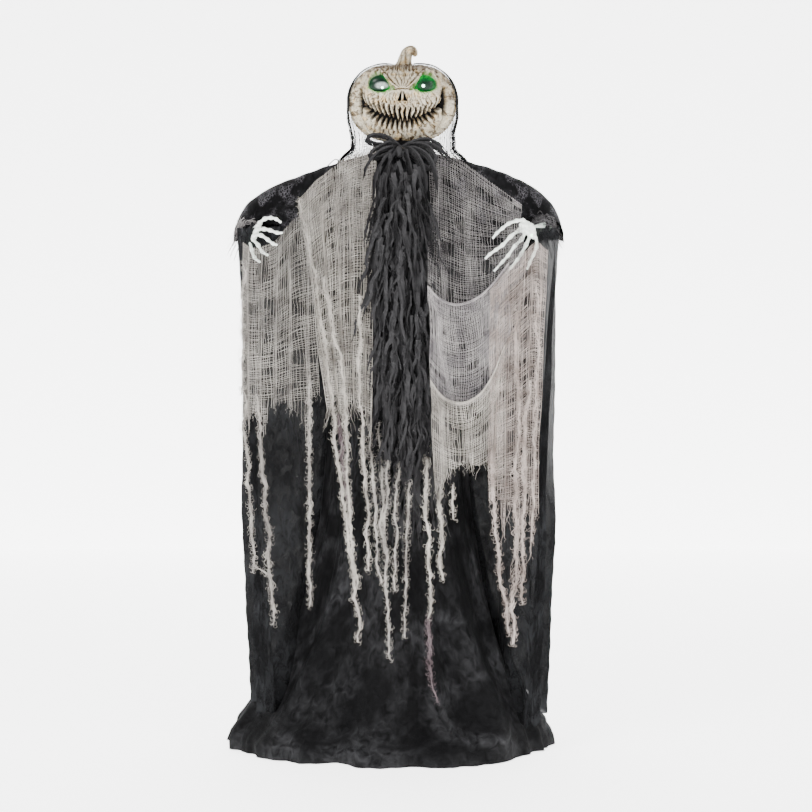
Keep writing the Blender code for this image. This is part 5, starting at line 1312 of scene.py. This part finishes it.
def strand_paths(start, end, size, dice, sunk):
    """One strand: frayed yarns loosely twisted round each other, with knots, and curly hairs."""
    start = Vector(start)
    end = Vector(end)
    length = (end - start).length
    steps = max(10, int(length / 0.0055))
    seed = dice.uniform(0, 50)
    yarns = []
    hairs = []
    bundle = 0.0050 * size
    for k in range(12):
        path = []
        loose = 0.5 + 1.5 * dice.random() ** 2
        for s in range(steps + 1):
            t = s / steps
            far = length * t
            middle = start.lerp(end, t)
            middle.x += 0.013 * wander(far / 0.085, seed) + 0.0045 * wander(far / 0.022, seed + 5)
            middle.y += 0.006 * wander(far / 0.09, seed + 9) + sunk * float(smooth(0.30, 0.08, t))
            knot = 0.55 + 1.5 * abs(wander(far / 0.024, seed + 3)) ** 0.8
            ends = min(1.0, 0.10 + 6 * t) * (1 - 0.65 * t ** 6)
            angle = 2 * math.pi * (k / 12 + far / 0.11) + 3.0 * wander(far / 0.021, seed, k)
            offset = bundle * knot * ends * loose * (0.25 + 1.2 * abs(wander(k * 7.7, far / 0.03, seed)))
            at = middle + Vector((offset * math.cos(angle), 0.7 * offset * math.sin(angle), 0))
            thick = max(0.35, 0.85 + 0.8 * wander(far / 0.02, k * 3.0, seed)) * min(1.0, 0.3 + 8 * t)
            path.append((at, thick))
            if dice.random() < 0.34:
                out = Vector((dice.uniform(-1, 1), dice.uniform(-0.9, 0.2), dice.uniform(-1.0, 0.4)))
                out.normalize()
                reach = dice.uniform(0.003, 0.011)
                curl = out.cross(Vector((0, 1, 0))).normalized() * dice.choice((-1, 1)) * reach
                hairs.append([(at + out * (reach * far_out) + curl * round_it, thin)
                              for far_out, round_it, thin in HAIR_CURL])
        yarns.append(path)
    return yarns, hairs


def build_strands(yarns):
    """Twisted strands below the panels, and their flyaway hairs."""
    dice = random.Random(17)
    for group, (body, hold, rows) in STRANDS.items():
        thick = {}
        thin = {}
        for start, end, size, kind in rows:
            behind_ribbons = -0.11 < start[0] < 0.13 and start[2] > 0.78
            ropes, hairs = strand_paths(start, end, size, dice, 0.085 if behind_ribbons else 0.0)
            thick.setdefault(kind, []).extend(ropes)
            thin.setdefault(kind, []).extend(hairs)
        for kind in thick:
            pieces = (threads(f"strands_{group}_{kind}", thick[kind], 0.00085, yarns[kind]),
                      threads(f"strand_hairs_{group}_{kind}", thin[kind], 0.00040, yarns[kind]))
            for piece in pieces:
                if body:
                    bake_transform(piece)
                else:
                    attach(piece, "root")


# ---------------------------------------------------------------- ribbons

def strip(bm, path, width, face, crease, steps=14, crumple=0.0, dice=None):
    """One crinkled ribbon along a path: three edges wide, pointed at its end."""
    made = bmesh.ops.create_grid(bm, x_segments=2, y_segments=steps, size=0.5)["verts"]
    for vert in made:
        t = 0.5 - vert.co.y
        across = vert.co.x
        at = between(path, t)
        ahead = (between(path, min(t + 0.04, 1)) - between(path, max(t - 0.04, 0))).normalized()
        side = ahead.cross(face(t)).normalized()
        out = side.cross(ahead).normalized()
        taper = 1.0 if t < 0.72 else max(0.06, (1 - t) / 0.28)
        jag = dice.uniform(-crumple, crumple) if dice else 0.0
        slide = 1 + (dice.uniform(-0.25, 0.25) if dice else 0.0)
        lift = crease * (abs(across) - 0.25) * 2 + jag
        vert.co = at + side * (across * width * taper * slide) + out * lift


def build_ribbons(skin):
    """The neck tie, its bow and the long shaggy bundle of crinkled strips down the chest."""
    dice = random.Random(5)
    bm = bmesh.new()
    count = 470
    for k in range(count):
        level = (k / count) ** 0.85
        top = mix(1.775, 0.830, level) + dice.uniform(-0.03, 0.03)
        half = between([(0.050, 0, 0), (0.086, 0, 0), (0.094, 0, 0), (0.086, 0, 0), (0.060, 0, 0)], level).x
        middle = mix(-0.006, 0.034, level)
        spot = dice.uniform(-1, 1)
        x = middle + half * spot
        layer = dice.random()
        y = mix(-0.200, -0.272, layer) + 0.022 * spot * spot
        y += 0.045 * float(smooth(0.06, 0.0, level))
        length = dice.uniform(0.12, 0.30) * mix(1.0, 0.85, level)
        swing = 0.026 * spot + dice.uniform(-0.050, 0.050)
        points = 7
        path = []
        for s in range(points):
            t = s / (points - 1)
            jog = dice.uniform(-0.006, 0.006) * (s > 0)
            path.append((x + swing * t + jog, y - 0.012 * t + dice.uniform(-0.005, 0.005), top - length * t))
        turn = dice.uniform(-1.2, 1.2)
        twist = dice.uniform(-2.6, 2.6)
        strip(bm, path, dice.uniform(0.007, 0.014),
              lambda t, a=turn, b=twist: Vector((math.sin(a + b * t), -math.cos(a + b * t), 0.05)),
              dice.uniform(0.0012, 0.0035), 22, 0.0016, dice)
    bundle = from_bmesh("ribbon_bundle_strips", bm, skin, False)
    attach(bundle, "root")
    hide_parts("ribbon_bundle")

    bm = bmesh.new()
    for k in range(16):
        height = 1.795 + 0.006 * (k % 4) - 0.009
        size = 0.088 + 0.0035 * (k // 4) + 0.002 * wander(k * 1.7)
        start = 2 * math.pi * k / 16
        path = [(size * math.cos(start + a), size * 1.02 * math.sin(start + a),
                 height + 0.004 * wander(k, a)) for a in (0, 0.35, 0.7, 1.05, 1.4)]
        strip(bm, path, 0.013,
              lambda t, a=start: Vector((math.cos(a + 1.4 * t), math.sin(a + 1.4 * t), 0.1)), 0.002, 12)
    knot = (-0.004, -0.150, 1.790)
    loops = [[knot, (-0.040, -0.172, 1.816), (-0.078, -0.176, 1.824), (-0.104, -0.176, 1.814),
              (-0.086, -0.172, 1.800), (-0.045, -0.168, 1.796), knot],
             [knot, (-0.036, -0.175, 1.802), (-0.072, -0.182, 1.786), (-0.094, -0.182, 1.766),
              (-0.072, -0.178, 1.756), (-0.036, -0.170, 1.774), knot],
             [knot, (0.036, -0.175, 1.798), (0.076, -0.190, 1.786), (0.098, -0.190, 1.752),
              (0.082, -0.190, 1.722), (0.044, -0.182, 1.748), knot]]
    tails = [[(0.035, -0.176, 1.786), (0.076, -0.194, 1.758), (0.098, -0.204, 1.708), (0.104, -0.219, 1.640)],
             [(0.025, -0.179, 1.782), (0.055, -0.199, 1.741), (0.070, -0.219, 1.676), (0.066, -0.239, 1.600)],
             [(0.008, -0.182, 1.776), (0.022, -0.204, 1.730), (0.030, -0.229, 1.660), (0.020, -0.249, 1.560)],
             [(-0.020, -0.179, 1.774), (-0.040, -0.199, 1.730), (-0.050, -0.224, 1.670),
              (-0.045, -0.244, 1.590)],
             [(-0.030, -0.174, 1.778), (-0.060, -0.192, 1.740), (-0.078, -0.214, 1.690),
              (-0.084, -0.236, 1.610)],
             [(0.040, -0.172, 1.798), (0.084, -0.176, 1.796), (0.120, -0.176, 1.774), (0.150, -0.179, 1.742)],
             [(0.034, -0.168, 1.806), (0.074, -0.170, 1.812), (0.108, -0.170, 1.796), (0.134, -0.173, 1.768)],
             [(-0.036, -0.176, 1.788), (-0.074, -0.186, 1.768), (-0.102, -0.194, 1.732),
              (-0.112, -0.209, 1.690)]]
    for path in loops + [[knot, *tail] for tail in tails]:
        for shift in (0.0, 0.005, 0.009):
            moved = [Vector(p) + Vector((0.6 * shift, -shift, 0.8 * shift)) for p in path]
            strip(bm, moved, 0.009, lambda t: Vector((0.1, -0.8, 0.6)), 0.003, 34, 0.0008, dice)
    bmesh.ops.create_uvsphere(bm, u_segments=18, v_segments=12, radius=1.0,
                              matrix=Matrix.Translation(Vector(knot) + Vector((0, -0.030, -0.010)))
                              @ Matrix.Diagonal((0.012, 0.012, 0.018, 1)))
    tie = from_bmesh("ribbon_tie_bow", bm, skin, False)
    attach(tie, "root")
    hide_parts("ribbon_tie")


# ---------------------------------------------------------------- cuffs and palm lamps

def build_cuffs(yarns):
    """Bunched torn gauze round each wrist, frayed at its edge."""
    for name, side in SIDES.items():
        left = name == "left"
        dice = random.Random(23 if left else 29)
        wrist = Vector(frame_wrist(name)) + Vector((side * 0.014, 0.020, 0.012 if left else 0.006))
        away = Vector((side * 0.35, 0.65, 0.40 if left else 0.55)).normalized()
        first = away.cross(Vector((0, 0, 1))).normalized()
        second = away.cross(first)
        paths = []
        for k in range(90):
            begin = dice.uniform(0, 2 * math.pi)
            slide = dice.uniform(-0.026, 0.022)
            size = 0.026 + 0.012 * dice.random()
            path = []
            for s in range(14):
                angle = begin + s * 0.13
                wob = 1 + 0.30 * wander(3 * math.cos(angle), 3 * math.sin(angle), k * 0.6)
                at = wrist + away * (slide + 0.016 * wander(s * 0.3, k))
                at += first * (size * wob * math.cos(angle))
                path.append((at + second * (size * wob * math.sin(angle)), 0.8 + 0.4 * dice.random()))
            paths.append(path)
        for k in range(70):
            angle = dice.uniform(0, 2 * math.pi)
            at = wrist + first * (0.032 * math.cos(angle)) + second * (0.032 * math.sin(angle))
            out = (at - wrist).normalized() - away * 0.6 + Vector((side * 0.5, 0, -1.4))
            length = dice.uniform(0.008, 0.030)
            path = [(at + out * (length * t) + Vector((0.007 * wander(k, 5 * t), 0, 0)), 1 - 0.6 * t)
                    for t in (0, 0.33, 0.66, 1.0)]
            paths.append(path)
        cuff = threads(f"gauze_cuff_{name}", paths, 0.0008, yarns["grey" if left else "charcoal"])
        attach(cuff, f"arm_{name}")


# ---------------------------------------------------------------- hard parts

def finish_hard_parts():
    """Materials for the stand, the arms, the neck drive and the control box."""
    skins = {
        "black_steel": moulded("satin_black_powder_coated_steel", "#17171a", 0.42, 0.8 * MM, 0.0, "#3b3b3e"),
        "zinc_steel": moulded("zinc_plated_steel", "#b9b8b0", 0.34, 1.5 * MM, 1.0, "#8d8c86"),
        "black_nylon": moulded("black_glass_filled_nylon", "#151516", 0.58, 0.6 * MM, 0.0, "#2c2c2e"),
        "black_abs": moulded("spark_textured_black_abs", "#1b1b1d", 0.50, 0.5 * MM, 0.0, "#2f2f31"),
        "white_nylon": moulded("natural_white_nylon", "#dedbd0", 0.42, 1.2 * MM, 0.0, "#c2bdae"),
        "dark_rubber": moulded("black_pvc_rubber", "#0f0f10", 0.80, 0.9 * MM, 0.0, "#242425"),
        "red_abs": moulded("gloss_red_abs", "#a81713", 0.28, 2.0 * MM, 0.0, "#7c0f0c"),
        "battery_sleeve": moulded("grey_shrink_film", "#33343a", 0.30, 2.0 * MM, 0.0, "#55565c"),
        "circuit_board": moulded("green_solder_mask", "#11502a", 0.35, 1.0 * MM, 0.0, "#0b3a1d"),
        "dark_liner": moulded("flock_black_liner", "#0c0b0b", 0.92, 0.7 * MM, 0.0, "#1d1a1a"),
    }
    lens = lamp_plastic("green_palm_led", "#19e860", 6.0)
    slots = {part["node"]: part["material_slot"] for part in frame["record"]["subparts"]}
    for name, node in frame["nodes"].items():
        skin = skins.get(slots.get(name)) or (lens if name.startswith("palm_led") else None)
        if skin is not None:
            node.data.materials.clear()
            node.data.materials.append(skin)


# ---------------------------------------------------------------- studio

def studio():
    """Camera, soft lights, a pale floor and a bright white wall behind."""
    scene = bpy.context.scene
    camera = bpy.data.objects.new("camera", bpy.data.cameras.new("camera"))
    camera.location = (0.0155, -4.5, 1.026)
    camera.rotation_euler = (math.pi / 2, 0.0, 0.0)
    camera.data.lens = 64.6
    camera.data.sensor_width = 36.0
    scene.collection.objects.link(camera)
    scene.camera = camera
    lights = {
        "key": ((-2.4, -3.4, 3.6), 1.6, 210.0),
        "fill": ((2.8, -3.4, 2.2), 2.0, 95.0),
        "low_fill": ((0.2, -4.2, 0.5), 1.6, 28.0),
    }
    for name, (place, size, power) in lights.items():
        lamp = bpy.data.lights.new(name, "AREA")
        lamp.size = size
        lamp.energy = power
        made = bpy.data.objects.new(name, lamp)
        made.location = place
        made.rotation_euler = (Vector((0, 0, 1.0)) - Vector(place)).to_track_quat("-Z", "Y").to_euler()
        scene.collection.objects.link(made)
    world = bpy.data.worlds.new("white_room")
    world.use_nodes = True
    world.node_tree.nodes["Background"].inputs["Color"].default_value = (1.0, 1.0, 1.0, 1.0)
    world.node_tree.nodes["Background"].inputs["Strength"].default_value = 0.55
    scene.world = world
    paper, _, shader = material("lit_white_seamless_paper", Base_Color=linear("#ffffff"), Roughness=0.95)
    shader.inputs["Emission Color"].default_value = linear("#ffffff")
    shader.inputs["Emission Strength"].default_value = 3.4
    bm = bmesh.new()
    bmesh.ops.create_grid(bm, x_segments=1, y_segments=1, size=9.0)
    floor = from_bmesh("studio_floor", bm, paper, False)
    floor.location.z = -0.0005
    bm = bmesh.new()
    bmesh.ops.create_grid(bm, x_segments=1, y_segments=1, size=12.0)
    wall = from_bmesh("studio_wall", bm, paper, False)
    wall.location = (0.0, 6.0, 0.0)
    wall.rotation_euler = (math.pi / 2, 0.0, 0.0)


studio()
build_head()
bone = bone_plastic()
for hand_name in SIDES:
    build_hand(hand_name, bone)
# the second colour of each cloth is painted highlight on its raised creases
robe_cloth = crushed_cloth("crushed_black_polyester", "#050506", "#38383a", 27 * MM, lift=6 * MM)
sleeve_cloth = crushed_cloth("black_polyester_sleeve", "#040405", "#2a2a2c", 16 * MM, weave=2.4 * MM,
                             lace="#555357")
sheer_cloth = crushed_cloth("sheer_black_voile", "#060607", "#2d2e30", 30 * MM, 0.97, see_through=-0.14)
build_robe(robe_cloth)
build_collar(sleeve_cloth)
build_sleeves(sleeve_cloth, sheer_cloth)
build_veil(net_cloth("black_knitted_net", "#040405", 7.0 * MM, 2.2 * MM),
           cotton_yarn("black_hood_yarn", "#040405", "#141415"))
YARNS = {
    "pale": cotton_yarn("pale_grey_cotton_yarn", "#716c68", "#bfbab2"),
    "bright": cotton_yarn("cream_grey_cotton_yarn", "#8b857e", "#d6d0c6"),
    "grey": cotton_yarn("smoke_grey_cotton_yarn", "#646062", "#b3afac"),
    "smoke": cotton_yarn("mid_grey_cotton_yarn", "#777275", "#c4bfbc"),
    "pink": cotton_yarn("pinkish_grey_cotton_yarn", "#867972", "#cfc3bb"),
    "mauve": cotton_yarn("mauve_stained_cotton_yarn", "#453a3d", "#7f7275"),
    "charcoal": cotton_yarn("charcoal_cotton_yarn", "#1c1b1c", "#6f6d6e"),
}
HAZES = {
    "pale": haze_cloth("pale_gauze_fluff", "#7c7874", "#bfbab3", 0.10),
    "bright": haze_cloth("cream_gauze_fluff", "#8b857e", "#c5bfb6", 0.13),
    "grey": haze_cloth("smoke_gauze_fluff", "#5d5a5c", "#8d8988", 0.08),
    "smoke": haze_cloth("mid_gauze_fluff", "#6c686b", "#aaa5a4", 0.13),
    "pink": haze_cloth("pinkish_gauze_fluff", "#8c7d77", "#bfb3ac", 0.14),
}
build_gauze(YARNS, HAZES)
build_strands(YARNS)
# the lighter colour is painted highlight on the crinkles
build_ribbons(crushed_cloth("crinkled_black_taffeta", "#040404", "#5a575c", 6 * MM, spec=0.50, lift=2 * MM))
build_cuffs(YARNS)
finish_hard_parts()
